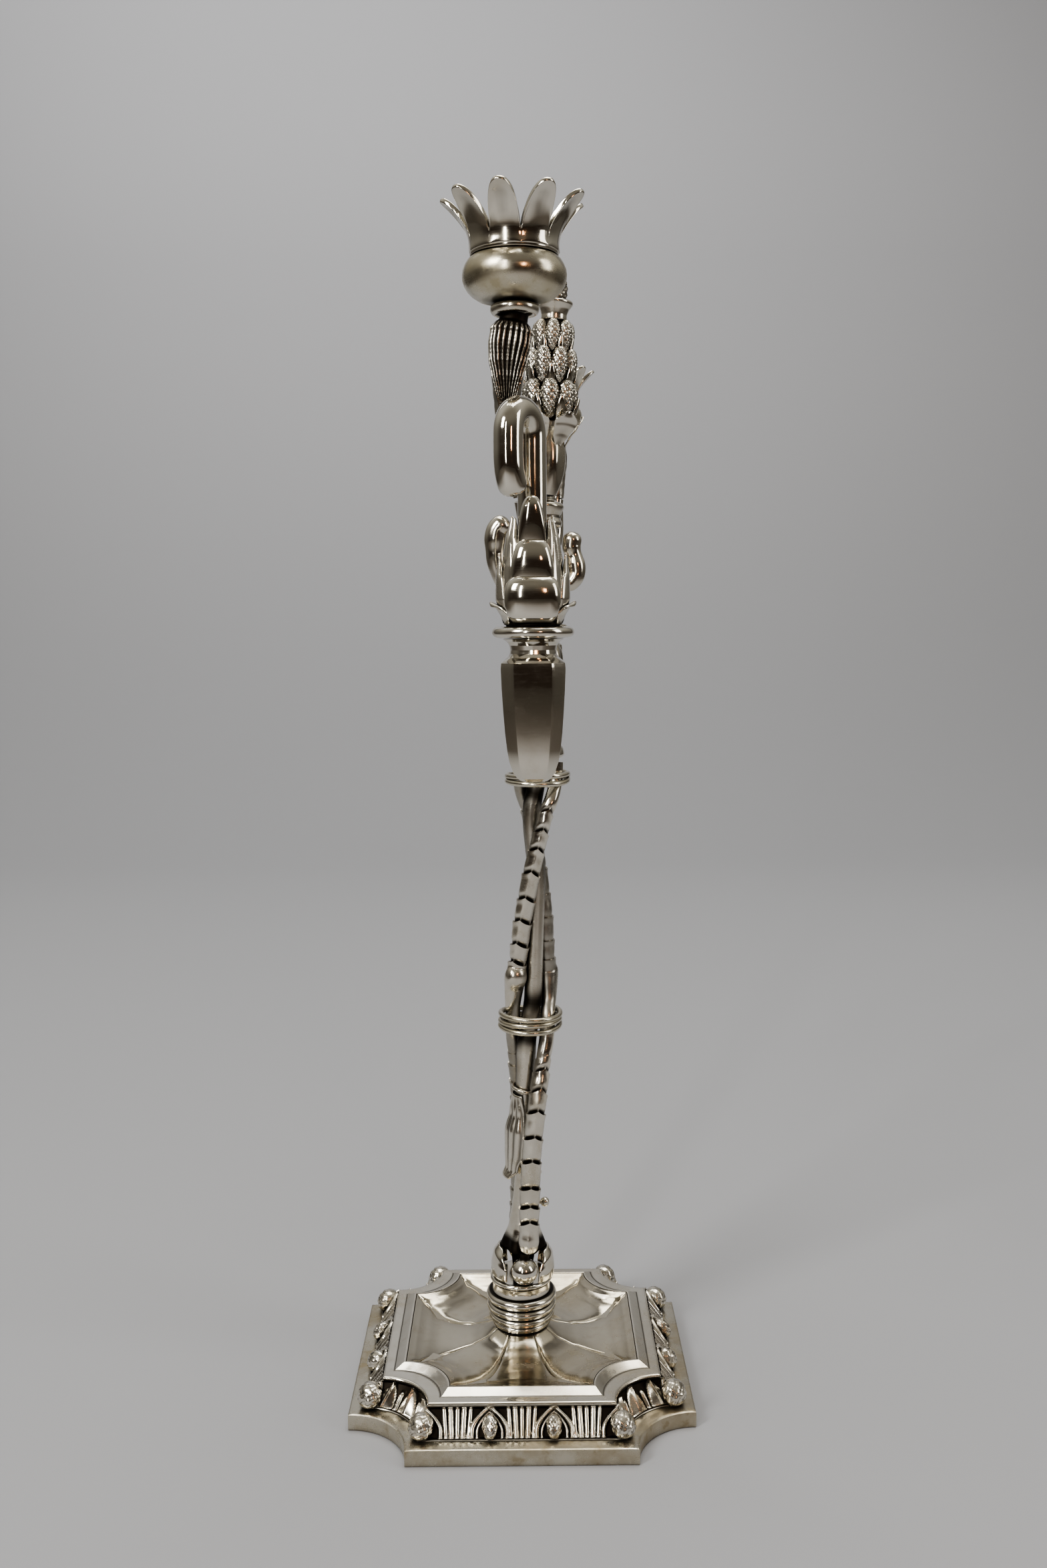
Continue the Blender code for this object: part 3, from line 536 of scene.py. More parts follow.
def dish():
    """Eight pillowed lobes between curved creases, from the collar down and out to the raised strip."""
    side, arc = 56, 34
    edge = outline(45.75, 18.2, side, arc)
    n = len(edge)
    g = Geo()
    rows = []
    stations = [0.0, 0.03, 0.07, 0.12, 0.17, 0.22, 0.28, 0.34, 0.40, 0.46, 0.52, 0.58, 0.64, 0.70, 0.76, 0.82, 0.87, 0.91, 0.94,
                0.965, 0.985, 1.0]
    crease = [i for i, e in enumerate(edge) if e[4][0] == "side" and e[4][2] == -1.0 or e[4][0] == "arc" and e[4][2] == 0.0]
    for t in stations:
        row = []
        for i, e in enumerate(edge):
            # lobe coordinate: 0 at the lobe's middle, 1 at a crease
            kind, _, k = e[4]
            lobe = abs(k) if kind == "side" else abs(2 * k - 1)
            a0 = math.atan2(e[1], e[0])
            rim_r = math.hypot(e[0], e[1])
            # the corner lobes swell in the middle: creases bow away from the diagonal
            quarter = round(a0 / (PI / 2)) * PI / 2
            off = a0 - quarter
            bow = 0.13 * math.sin(PI * min(1.0, t * 1.15)) * (-1 if off > 0 else 1) * (1 - abs(abs(off) - 0.62) / 0.62)
            start = quarter + off * (0.86 + 0.14 * t)
            a = start + bow
            r = 10.8 + (rim_r - 10.8) * t
            x, y = r * math.cos(a), r * math.sin(a)
            base = table([(0.0, 21.0), (0.06, 19.2), (0.16, 17.2), (0.3, 15.5), (0.5, 14.7), (0.66, 14.9), (0.84, 16.7), (0.95, 18.5),
                          (1.0, 19.25)], t)
            amp = table([(0.0, 0.25), (0.12, 0.8), (0.35, 1.5), (0.6, 1.5), (0.85, 0.8), (1.0, 0.1)], t)
            if kind == "side":
                amp *= 0.55
            pillow = (1 - lobe ** 3.0)
            groove = 0.45 * math.exp(-((1 - lobe) / 0.05) ** 2) * smooth(1.0, 0.9, t)
            z = base + amp * (pillow - 0.6) - groove
            row.append((x, y, z, 0.25 * math.exp(-((1 - lobe) / 0.03) ** 2)))
        rows.append(row)
    rows.append([(e[0], e[1], 17.6, 0.0) for e in edge])
    rows.append([(e[0] * 0.6, e[1] * 0.6, 12.9, 0.0) for e in edge])
    rows.append([(10.0 * math.cos(math.atan2(e[1], e[0])), 10.0 * math.sin(math.atan2(e[1], e[0])), 19.2, 0.0) for e in edge])
    rows.append([(4.4 * math.cos(math.atan2(e[1], e[0])), 4.4 * math.sin(math.atan2(e[1], e[0])), 19.2, 0.0) for e in edge])
    rows.append([(4.4 * math.cos(math.atan2(e[1], e[0])), 4.4 * math.sin(math.atan2(e[1], e[0])), 20.7, 0.0) for e in edge])
    g.grid(rows, loop=True)
    make("base_dish_detail", g, WORLD, "stand", ["base_dish"], DISH, sharp=70)


def collar():
    prof = [(3.7, 42.3), (11.0, 42.3), (12.2, 42.2), (12.75, 41.75), (12.8, 41.1), (12.55, 40.6), (12.0, 40.2), (11.85, 39.7),
            (11.9, 37.6), (12.0, 36.4), (12.1, 36.1)]
    for z, r, half, depth in ((33.9, 14.5, 2.05, 2.5), (29.75, 14.35, 1.98, 2.5), (25.95, 13.6, 1.72, 2.3), (22.75, 12.2, 1.35, 1.7)):
        for k in range(15):
            a = PI / 2 - PI * k / 14
            prof.append((r - depth + depth * math.cos(a) ** 0.8 if k not in (0, 14) else r - depth, z + half * math.sin(a)))
    prof += [(10.4, 21.4), (10.2, 21.05), (3.7, 21.0)]
    g = Geo()

    def oxide_and_shade(a, z):
        gaps = (36.0, 31.85, 27.8, 24.2, 21.4)
        return max(1.0 * math.exp(-((z - c) / 0.42) ** 2) for c in gaps)
    rev(g, prof, 112, ox_and_shade=oxide_and_shade, loop=True)
    make("foot_collar_detail", g, WORLD, "stand", ["foot_collar"], POLISHED, sharp=50)


# ------------------------------------------------------------------ foot and stem
CORE_X = [(42.0, 0.0), (90.0, -0.3), (120.0, -1.1), (140.0, -1.3), (150.0, -0.1), (161.0, 0.9), (205.0, 0.9),
          (236.0, -1.9), (250.0, -0.3), (256.0, -0.2)]
CORE_RADIUS = [(90.0, 4.1), (140.0, 4.0), (150.0, 3.5), (161.0, 3.65), (205.0, 3.5), (238.0, 3.7), (250.0, 3.5),
               (256.0, 3.5)]
STALK = [
    (58.4, 2.0, 11.2, 3.7), (61.5, 2.0, 11.4, 4.2), (65.2, 2.0, 11.0, 3.9), (72.0, 1.9, 10.2, 4.1),
    (82.0, 1.9, 10.0, 4.1), (93.0, 2.0, 10.6, 4.0), (103.0, 2.4, 10.7, 3.9), (113.0, 3.2, 10.4, 3.8),
    (121.0, 3.9, 9.4, 3.6), (129.0, 4.9, 6.4, 3.4), (135.0, 5.7, 4.6, 3.1), (142.0, 6.7, 2.4, 3.0),
    (147.0, 7.0, 1.4, 3.0), (153.0, 7.1, 0.4, 2.9), (158.0, 7.2, -1.0, 3.2), (165.0, 6.9, -2.2, 4.0),
    (169.5, 6.4, -2.8, 4.5), (173.5, 6.0, -3.2, 3.7), (182.0, 5.2, -4.4, 3.7), (192.0, 4.4, -5.6, 3.65),
    (201.0, 3.1, -6.6, 3.6), (211.0, 1.6, -7.3, 3.5), (221.0, -0.3, -7.5, 3.3), (228.0, -1.8, -7.4, 3.1),
    (236.0, -3.6, -6.8, 2.9), (242.0, -5.8, -5.0, 2.8), (248.0, -7.1, -1.8, 2.7), (256.0, -7.2, -1.2, 2.7)]
CHEVRONS = [70.1, 76.9, 85.1, 96.3, 106.2, 116.6, 124.3, 132.1, 137.3, 176.6, 184.1, 193.7, 202.9, 213.3, 222.6, 230.1, 237.6]


def foot():
    rows = []
    for turn, name in ((0.0, "right"), (PI, "left")):
        g = Geo()
        steps, levels = 22, 12
        for inner in (0,):
            grid = []
            for j in range(levels + 1):
                t = j / levels
                z = 42.6 + 11.6 * t
                r = table([(0, 12.3), (0.35, 12.6), (0.7, 11.9), (1.0, 9.8)], t)
                half = math.radians(table([(0, 58), (0.4, 57), (0.65, 50), (0.85, 39), (1.0, 27)], t))
                row = []
                for i in range(steps + 1):
                    u = 2 * i / steps - 1
                    a = turn + half * u
                    rr = r - 0.5 * (abs(u) ** 3)
                    row.append((rr * math.cos(a), rr * math.sin(a), z + 1.0 * t * (1 - u * u), 0.35 * (1 - t) ** 6))
                grid.append(row)
            g.grid(grid, around=False)
        make("foot_leaf_%s_detail" % name, g, STEM, "stand", ["foot_leaf_" + name], MIRROR, solid=1.1, subsurf=1)
    for sgn, name in ((-1, "front"), (1, "rear")):
        g = Geo()
        prof = [(5.4 * math.cos(a), 5.4 * math.sin(a)) for a in [(-PI / 2 + 0.02) + (PI - 0.04) * k / 28 for k in range(29)]]
        prof = [(r, z + 48.1) for r, z in prof]
        prof = [p for p in prof if p[1] < 53.0]
        prof += [(2.1, 53.2), (1.9, 54.5), (2.3, 56.2)]
        rev(g, prof, 40, M=T(Vector((0.6 * -sgn, 10.5 * sgn, 0))), cap=True,
            ox_and_shade=lambda a, z: 0.95 * smooth(52.4, 53.6, z) + 0.5 * smooth(44.0, 42.9, z))
        make("foot_bead_%s_detail" % name, g, STEM, "stand", ["foot_bead_" + name], POLISHED, sharp=60)

    prof = [(0.2, 90.2), (3.6, 90.2), (4.1, 89.6), (4.3, 84.0), (4.7, 77.0), (5.4, 70.0), (6.3, 63.0), (7.4, 57.6), (8.1, 55.2), (8.2, 54.2),
            (7.6, 53.6), (6.4, 54.2), (4.2, 54.4), (4.0, 53.0), (3.9, 43.0), (2.9, 42.7), (2.9, 64.0), (0.2, 64.0)]
    prof = rounded(prof, 0.6, 3)

    def lobes(a, r, z):
        k = smooth(66.0, 54.5, z) * smooth(50.0, 54.0, z)
        return (0.55 * math.cos(6 * a) + 0.9 * math.exp(-((math.sin(a)) / 0.35) ** 2) * (1 if z < 60 else 0.4)) * k
    g = Geo()
    rev(g, prof, 60, mod=lobes, ox_and_shade=lambda a, z: smooth(61.5, 57.5, z) * 0.95)
    for x, y, z, r in ((8.3, -0.6, 73.6, 1.9),):
        M = T(Vector((x, y, z)))
        ball = [(max(0.02, r * math.cos(b)), r * 1.05 * math.sin(b)) for b in [-PI / 2 + PI * k / 12 for k in range(13)]]
        rev(g, ball, 18, M=M)
        d = Vector((x, y, 0)).normalized()
        tube(g, [Vector((x, y, z)) - d * s for s in (0.4, 1.6, 3.0, 4.4)], [1.1, 0.95, 1.0, 1.2], 12, (0, 0, 1))
    make("stem_skirt_detail", g, STEM, "stand", ["stem_skirt"], POLISHED, sharp=50)


def core_place(z):
    return table(CORE_X, z), table(CORE_RADIUS, max(z, 90.0))


def stalk_line(turn):
    pts, radii = [], []
    for z, x, front, radius in STALK:
        cx, cr = core_place(z)
        x, y = x * turn, -front * turn
        if z >= 88.0:
            need = radius + cr + 0.45
            dx = x - cx
            if math.hypot(dx, y) < need:
                y = math.copysign(math.sqrt(max(need * need - dx * dx, 0.0)), y)
        pts.append((x, y, z, radius))
    fine = catmull(pts, 900)
    return fine


def stalk(turn, name):
    """Segmented stalk: each piece ends in a pointed lip, and the next one starts sunk behind it."""
    line = stalk_line(turn)
    zs = [p[2] for p in line]

    def at(z):
        lo, hi = 0, len(zs) - 1
        z = min(max(z, zs[0]), zs[-1])
        while hi - lo > 1:
            mid = (lo + hi) // 2
            if zs[mid] <= z:
                lo = mid
            else:
                hi = mid
        t = (z - zs[lo]) / max(1e-9, zs[hi] - zs[lo])
        p = line[lo].lerp(line[hi], t)
        d = (line[min(hi + 3, len(line) - 1)] - line[max(lo - 3, 0)])
        return Vector(p[:3]), p[3], Vector(d[:3]).normalized()

    levels = []                                    # (z, state, drop of the chevron)
    z = zs[0]
    marks = CHEVRONS
    for k, m in enumerate(marks):
        nxt = marks[k + 1] if k + 1 < len(marks) else None
    prev = zs[0]
    for m in marks:
        gap = m - prev
        steps = max(5, int(gap / 0.9))
        for i in range(1 if levels else 0, steps):
            levels.append((prev + gap * i / steps, prev, m, 0))
        levels += [(m - 0.35, prev, m, 0), (m, prev, m, 0), (m, m, None, 1), (m + 0.3, m, None, 0), (m + 0.75, m, None, 0),
                   (m + 1.3, m, None, 0)]
        prev = m + 1.3
    gap = zs[-1] - prev
    for i in range(1, 31):
        levels.append((prev + gap * i / 30, prev, None, 0))
    sides = 40
    g = Geo()
    rows = []
    for li, (w, _, _, after) in enumerate(levels):
        below = [m for m in marks if m <= w + 1e-6]
        above = [m for m in marks if m >= w - 1e-6]
        row = []
        for k in range(sides):
            a = 2 * PI * k / sides
            s = abs(math.sin(a)) if math.cos(a) > 0 else 1.0
            near = min((abs(w - m) for m in marks))
            drop = 2.1 * s ** 0.8 * smooth(6.0, 2.5, near) if near < 6.0 else 0.0
            if 69.5 > w:
                drop *= smooth(62.0, 67.0, w)
            if w > 242.5:
                drop = 0.0
            p, rad, t = at(w - drop)
            cx, cr = core_place(p.z)
            f = Vector((0.35 * (p.x - cx), p.y, 0.0))
            f = (f - t * f.dot(t)).normalized()
            b = t.cross(f)
            rr = rad * (1.0 + 0.055 * math.exp(-(min(a, 2 * PI - a) / 0.28) ** 2))
            o = 0.0
            faint = 0.35 if abs(w - 137.3) < 3 else 1.0
            # sunk start of the piece above a lip
            if below:
                m = below[-1]
                d = w - m
                on = (d > 1e-6) or after
                if on and d < 5:
                    side = math.sin(2 * min(a, 2 * PI - a)) if math.cos(a) > 0 else 0.0
                    depth = (0.40 + 1.15 * max(0.0, side) ** 0.7) * math.exp(-(d / 1.7) ** 2) * faint
                    rr -= depth
                    o = max(o, (0.45 + 0.9 * max(0.0, side) ** 0.5) * math.exp(-(d / 1.65) ** 2) * faint)
            if above and not after:
                m = above[0]
                d = m - w
                if d < 3:
                    rr += 0.32 * math.exp(-(d / 1.4) ** 2) * faint
            q = p + (f * math.cos(a) + b * math.sin(a)) * rr
            # painted shade: the stalk is darkened along its flanks and over the whole half that faces the core rod
            flank_shade = abs(math.sin(a)) if math.cos(a) > 0 else 1.0
            o = max(o, 0.46 * flank_shade ** 5)
            row.append((q.x, q.y, q.z, o))
        rows.append(row)
    # rounded foot of the stalk
    p, rad, t = at(zs[0])
    first = rows[0]
    c0 = Vector((sum(v[0] for v in first) / sides, sum(v[1] for v in first) / sides, sum(v[2] for v in first) / sides))
    caps = []
    for j in range(1, 5):
        k = math.cos(j * PI / 2 / 5)
        dz = 1.6 * math.sin(j * PI / 2 / 5)
        caps.append([(c0.x + (v[0] - c0.x) * k, c0.y + (v[1] - c0.y) * k, v[2] - dz, 0.2) for v in first])
    rows = list(reversed(caps)) + rows
    g.grid(rows, cap0=True, cap1=True)
    make("stalk_%s_detail" % name, g, STEM, "stand", ["stalk_" + name], OXIDISED_SHADED, sharp=62)


def core():
    n = 120
    pts, radii = [], []
    for i in range(n + 1):
        z = 90.3 + (255.9 - 90.3) * i / n
        pts.append(Vector((table(CORE_X, z), 0.0, z)))
        radii.append(table(CORE_RADIUS, z))

    # painted shade: the rod's colour is darkened along its flanks and next to the ties; the noise also makes the radius
    # and the patina slightly uneven
    def wear_and_shade(i, t, a):
        p = pts[i]
        w = noise.noise(Vector((p.x * 0.2 + math.cos(a), math.sin(a), p.z * 0.05)))
        tie = max(math.exp(-((p.z - 158.5) / 5.0) ** 2), math.exp(-((p.z - 143.5) / 4.0) ** 2), math.exp(-((p.z - 243.0) / 4.5) ** 2))
        return 1.0 + 0.02 * w, 0.16 + 0.75 * (abs(math.sin(a)) ** 3) * (0.5 + 0.5 * w) + 0.6 * tie
    g = Geo()
    tube(g, pts, radii, 32, (0, -1, 0), shape=wear_and_shade)
    make("core_rod_detail", g, STEM, "stand", ["core_rod"], OXIDISED_SHADED)


def ties():
    for name, turns, mid in (("tie_lower", 3, 150.7), ("tie_upper", 2, 249.4)):
        pitch = 2.32
        n = int(turns * 56)
        pts, radii = [], []
        for i in range(n + 1):
            t = i / n
            a = math.radians(70.0) + 2 * PI * turns * t
            wob = 0.75 * math.sin(a * 1.0 + 2.1 * math.floor(turns * t + 0.2)) * smooth(0, 0.1, t) * smooth(1, 0.9, t)
            r = 11.95 + 0.10 * math.sin(3 * a + mid)
            pts.append(Vector((r * math.cos(a), r * 0.98 * math.sin(a), mid + pitch * turns * (t - 0.5) + wob * 0.55)))
            radii.append(1.1 + 0.04 * math.sin(5 * a))
        pts, radii = round_ends(pts, radii)
        g = Geo()
        # painted shade: each wire is darkened on its inner side against the rod and along its upper and lower edges
        # where the turns lie together
        tube(g, pts, radii, 18, lambda p, t: (p.x, p.y, 0.0), shape=lambda i, t, a: (1.0, 0.55 * max(0, -math.cos(a)) + 0.25 * abs(math.sin(a)) ** 6))
        make(name + "_detail", g, STEM, "stand", [name], SATIN)


def sheath():
    cx, cr = core_place(121.5)
    g = Geo()
    pts = []
    for i in range(61):
        a = 2 * PI * i / 60
        r = cr + 1.1
        pts.append(Vector((cx + r * math.cos(a), r * math.sin(a), 121.5 - 0.9 * math.cos(a))))
    tube(g, pts, [0.78] * 61, 14, (0, 0, 1), cap=False)
    make("sheath_ring_detail", g, STEM, "stand", ["sheath_ring"], POLISHED)
    for name, face, half, rows_ in (
            ("left", 199.0, 72.0, [(119.8, 5.4, 0.75), (112, 6.0, 0.95), (104, 7.7, 1.0), (96, 7.5, 0.95), (89, 7.0, 0.72), (84.6, 7.2, 0.34)]),
            ("right", 20.0, 46.0, [(119.8, 5.4, 0.75), (112, 5.9, 0.95), (103, 6.9, 1.0), (95, 6.5, 0.8), (89, 6.1, 0.5), (85.5, 6.2, 0.2)])):
        g = Geo()
        grid = []
        m = 34
        for j in range(45):
            t = j / 44
            z = 119.8 - 35.0 * t
            r = table([(-q[0], q[1]) for q in rows_], -z)
            w = table([(-q[0], q[2]) for q in rows_], -z)
            row = []
            for i in range(m + 1):
                u = 2 * i / m - 1
                flute = 0.5 + 0.5 * math.cos(u * PI * 6)
                k = smooth(0.0, 0.2, t) * smooth(1.0, 0.86, t)
                edge = 0.35 * smooth(0.8, 1.0, abs(u)) * math.sin(t * 26)
                rr = r + 0.55 * (flute - 0.5) * k + edge * 0.5 + 1.2 * smooth(0.85, 1.0, t) ** 2
                a = math.radians(face + half * w * u)
                row.append((-0.8 + rr * math.cos(a), rr * math.sin(a), z + 0.5 * edge, (1 - flute) * 0.6 * k))
            grid.append(row)
        g.grid(grid, around=False)
        make("sheath_leaf_%s_detail" % name, g, STEM, "stand", ["sheath_leaf_" + name], OXIDISED_SHADED, solid=0.8, subsurf=1)


# ------------------------------------------------------------------ centre
def centre():
    prof = rounded([(0.2, 331.0), (6.2, 331.0), (7.6, 329.0), (9.2, 324.0), (9.0, 317.0), (6.6, 311.0), (6.2, 306.0), (8.8, 299.0),
                    (9.4, 290.0), (8.2, 280.0), (5.8, 272.0), (5.6, 266.0), (9.2, 261.0), (9.6, 258.6), (8.8, 257.4), (0.2, 257.4)], 1.4, 4)
    g = Geo()

    def flutes(a, r, z):
        return 0.28 * math.cos(12 * a) * smooth(278, 286, z) * smooth(304, 296, z)
    rev(g, prof, 96, mod=flutes, ox_and_shade=lambda a, z: 0.8 * (0.5 - 0.5 * math.cos(12 * a)) * smooth(278, 286, z) * smooth(304, 296, z))
    for z, r in ((308.0, 6.9), (269.0, 6.4), (331.2, 6.6)):
        ring = [(r + 0.9 * math.cos(b), z + 0.9 * math.sin(b)) for b in [2 * PI * k / 12 for k in range(12)]]
        rev(g, ring, 64, loop=True)
    make("hub_detail", g, ARMS["front"], "stand", ["hub"], POLISHED)

    left = catmull([(-10.6, 0.0, 322.6), (-13.6, -0.6, 325.6), (-16.6, -1.2, 333.0), (-17.0, -1.6, 341.0), (-16.2, -1.8, 346.0), (-14.4, -2.0, 348.2)], 60)
    rad = [table([(0, 2.7), (0.3, 3.2), (0.6, 3.7), (0.8, 4.4), (1.0, 4.3)], i / 59) for i in range(60)]
    pts, radii = round_ends(left, rad)
    g = Geo()
    tube(g, pts, radii, 28, (0, -1, 0), flat=(0.95, 1.0))
    make("side_curl_left_detail", g, ARMS["front"], "stand", ["side_curl_left"], POLISHED)
    right = catmull([(10.4, 0.0, 325.6), (12.6, 0.4, 325.8), (14.8, 0.8, 329.4), (14.2, 1.2, 335.0), (12.8, 1.4, 339.5), (13.0, 1.4, 342.6)], 60)
    rad = [table([(0, 2.9), (0.3, 3.3), (0.5, 3.6), (0.68, 3.1), (0.85, 3.7), (1.0, 3.8)], i / 59) for i in range(60)]
    pts, radii = round_ends(right, rad)
    g = Geo()
    tube(g, pts, radii, 28, (0, -1, 0))
    make("side_curl_right_detail", g, ARMS["front"], "stand", ["side_curl_right"], POLISHED)


def finial():
    g = Geo()
    prof = rounded([(0.2, 359.0), (4.4, 359.0), (4.7, 357.6), (7.2, 356.6), (7.9, 355.6), (7.4, 354.0), (6.4, 351.9), (6.6, 350.8), (7.5, 349.6),
                    (7.3, 348.0), (5.6, 346.6), (4.9, 344.0), (4.8, 340.0), (6.0, 334.0), (6.0, 331.9), (0.2, 331.9)], 0.7, 4)
    rev(g, prof, 64, ox_and_shade=lambda a, z: max(0.7 * math.exp(-((z - c) / 0.5) ** 2) for c in (351.4, 346.8, 358.2)))
    make("finial_baluster_detail", g, FINIAL, "stand", ["finial_baluster"], POLISHED)
    g = Geo()
    prof = [(0.2, 387.4), (5.2, 387.4), (5.7, 385.0), (6.3, 381.0), (6.9, 376.5), (7.1, 373.0), (6.9, 369.0), (6.2, 365.0), (5.3, 361.8), (4.5, 359.6), (0.2, 359.4)]
    rev(g, prof, 72, mod=lambda a, r, z: 0.30 * math.cos(6 * a) * smooth(361, 368, z) * smooth(384, 376, z),
        ox_and_shade=lambda a, z: 0.45 * smooth(378, 386, z))
    make("finial_pod_detail", g, FINIAL, "stand", ["finial_pod"], POLISHED)

    g = Geo()
    for k in range(6):
        c = 2 * PI * k / 6 + 0.1
        grid = []
        for j in range(15):
            t = j / 14
            z = 378.4 + 12.2 * t
            r = table([(0, 6.9), (0.3, 8.6), (0.6, 11.0), (0.85, 12.6), (1.0, 12.7)], t)
            w = table([(0, 0.20), (0.3, 0.42), (0.7, 0.46), (1.0, 0.12)], t)
            row = []
            for i in range(9):
                u = 2 * i / 8 - 1
                a = c + w * u
                rr = r + 0.8 * u * u * smooth(0.1, 0.5, t)
                row.append((rr * math.cos(a), rr * math.sin(a), z - 0.5 * u * u, 0.5 * (1 - u * u) * (1 - t)))
            grid.append(row)
        g.grid(grid, around=False)
    make("finial_calyx_detail", g, FINIAL, "stand", ["finial_calyx"], MIRROR, solid=0.5, subsurf=1)

    g = Geo()
    rev(g, [(0.2, 424.8), (4.8, 424.8), (5.6, 420.0), (5.6, 408.0), (6.4, 396.0), (6.0, 388.2), (0.2, 388.2)], 40, ox_and_shade=lambda a, z: 1.0)
    for tier, (z0, z1, rad, er, count) in enumerate(((388.0, 403.2, 7.3, 3.55, 7), (400.8, 415.0, 6.6, 3.2, 7), (412.6, 425.2, 5.4, 2.8, 7))):
        for k in range(count):
            c = 2 * PI * (k + 0.5 * (tier % 2)) / count + 0.2
            lean_ = R(math.radians(7), 4, 'Y')
            M = R(c, 4, 'Z') @ T(Vector((rad, 0, (z0 + z1) / 2))) @ lean_
            scaled_egg(g, M, er, er, (z1 - z0) / 2, 11, 9, steps=55, lift=0.30, dark=1.0)
    make("finial_ears_detail", g, FINIAL, "stand", ["finial_ears"], OXIDISED_SHADED, sharp=70)
    g = Geo()
    for tier, (z0, z1, r0, r1, count) in enumerate(((386.5, 396.5, 8.4, 11.2, 7), (399.0, 408.0, 8.0, 9.8, 7), (411.0, 419.0, 6.8, 7.6, 7))):
        for k in range(count):
            c = 2 * PI * (k + 0.5 * ((tier + 1) % 2)) / count + 0.2
            grid = []
            for j in range(11):
                t = j / 10
                z = z0 + (z1 - z0) * t
                r = r0 + (r1 - r0) * math.sin(t * PI / 2)
                w = 0.17 * math.sin(PI * min(1, t * 0.85 + 0.12)) ** 0.7 + 0.01
                grid.append([((r + 0.5 * (1 - (2 * i / 4 - 1) ** 2)) * math.cos(c + w * (2 * i / 4 - 1)),
                              (r + 0.5 * (1 - (2 * i / 4 - 1) ** 2)) * math.sin(c + w * (2 * i / 4 - 1)), z, 0.0) for i in range(5)])
            g.grid(grid, around=False)
    make("finial_bracts", g, FINIAL, "stand", [], MIRROR, solid=0.6, subsurf=1)
    g = Geo()
    prof = rounded([(0.2, 425.2), (5.0, 425.2), (4.9, 427.4), (5.6, 429.4), (6.9, 431.2), (7.05, 431.9), (6.6, 432.5), (4.8, 432.9), (4.2, 433.2), (0.2, 433.2)], 0.5, 3)
    rev(g, prof, 56, ox_and_shade=lambda a, z: 0.8 * math.exp(-((z - 433.0) / 0.4) ** 2))
    scaled_egg(g, T(Vector((0, 0, 436.6))), 4.4, 4.4, 6.5, 9, 8, lift=0.3, dark=1.0)
    make("finial_cap_detail", g, FINIAL, "stand", ["finial_cap"], OXIDISED_SHADED, sharp=60)


# ------------------------------------------------------------------ arms
def hood_petal(g, az, rows, half_deg, bulge=0.0, roll=0.7, M=None, count=14, levels=22):
    """A pillowy petal round the column: rows are (height share, radius, width share, z)."""
    grid = []
    for j in range(levels + 1):
        t = j / levels
        z = table([(q[0], q[3]) for q in rows], t)
        r = table([(q[0], q[1]) for q in rows], t)
        w = table([(q[0], q[2]) for q in rows], t) * math.radians(half_deg)
        row = []
        for i in range(count + 1):
            u = 2 * i / count - 1
            a = az + w * u
            rr = r + bulge * (1 - u * u) * math.sin(PI * t) + roll * smooth(0.86, 1.0, t) - 0.5 * abs(u) ** 4
            zz = z - (rows[-1][3] - rows[0][3]) * 0.22 * abs(u) ** 2.4 * smooth(0.45, 1.0, t)
            row.append((rr * math.cos(a), rr * math.sin(a), zz, 0.85 * smooth(0.25, 0.0, t)))
        grid.append(row)
    g.grid(grid, around=False, M=M)


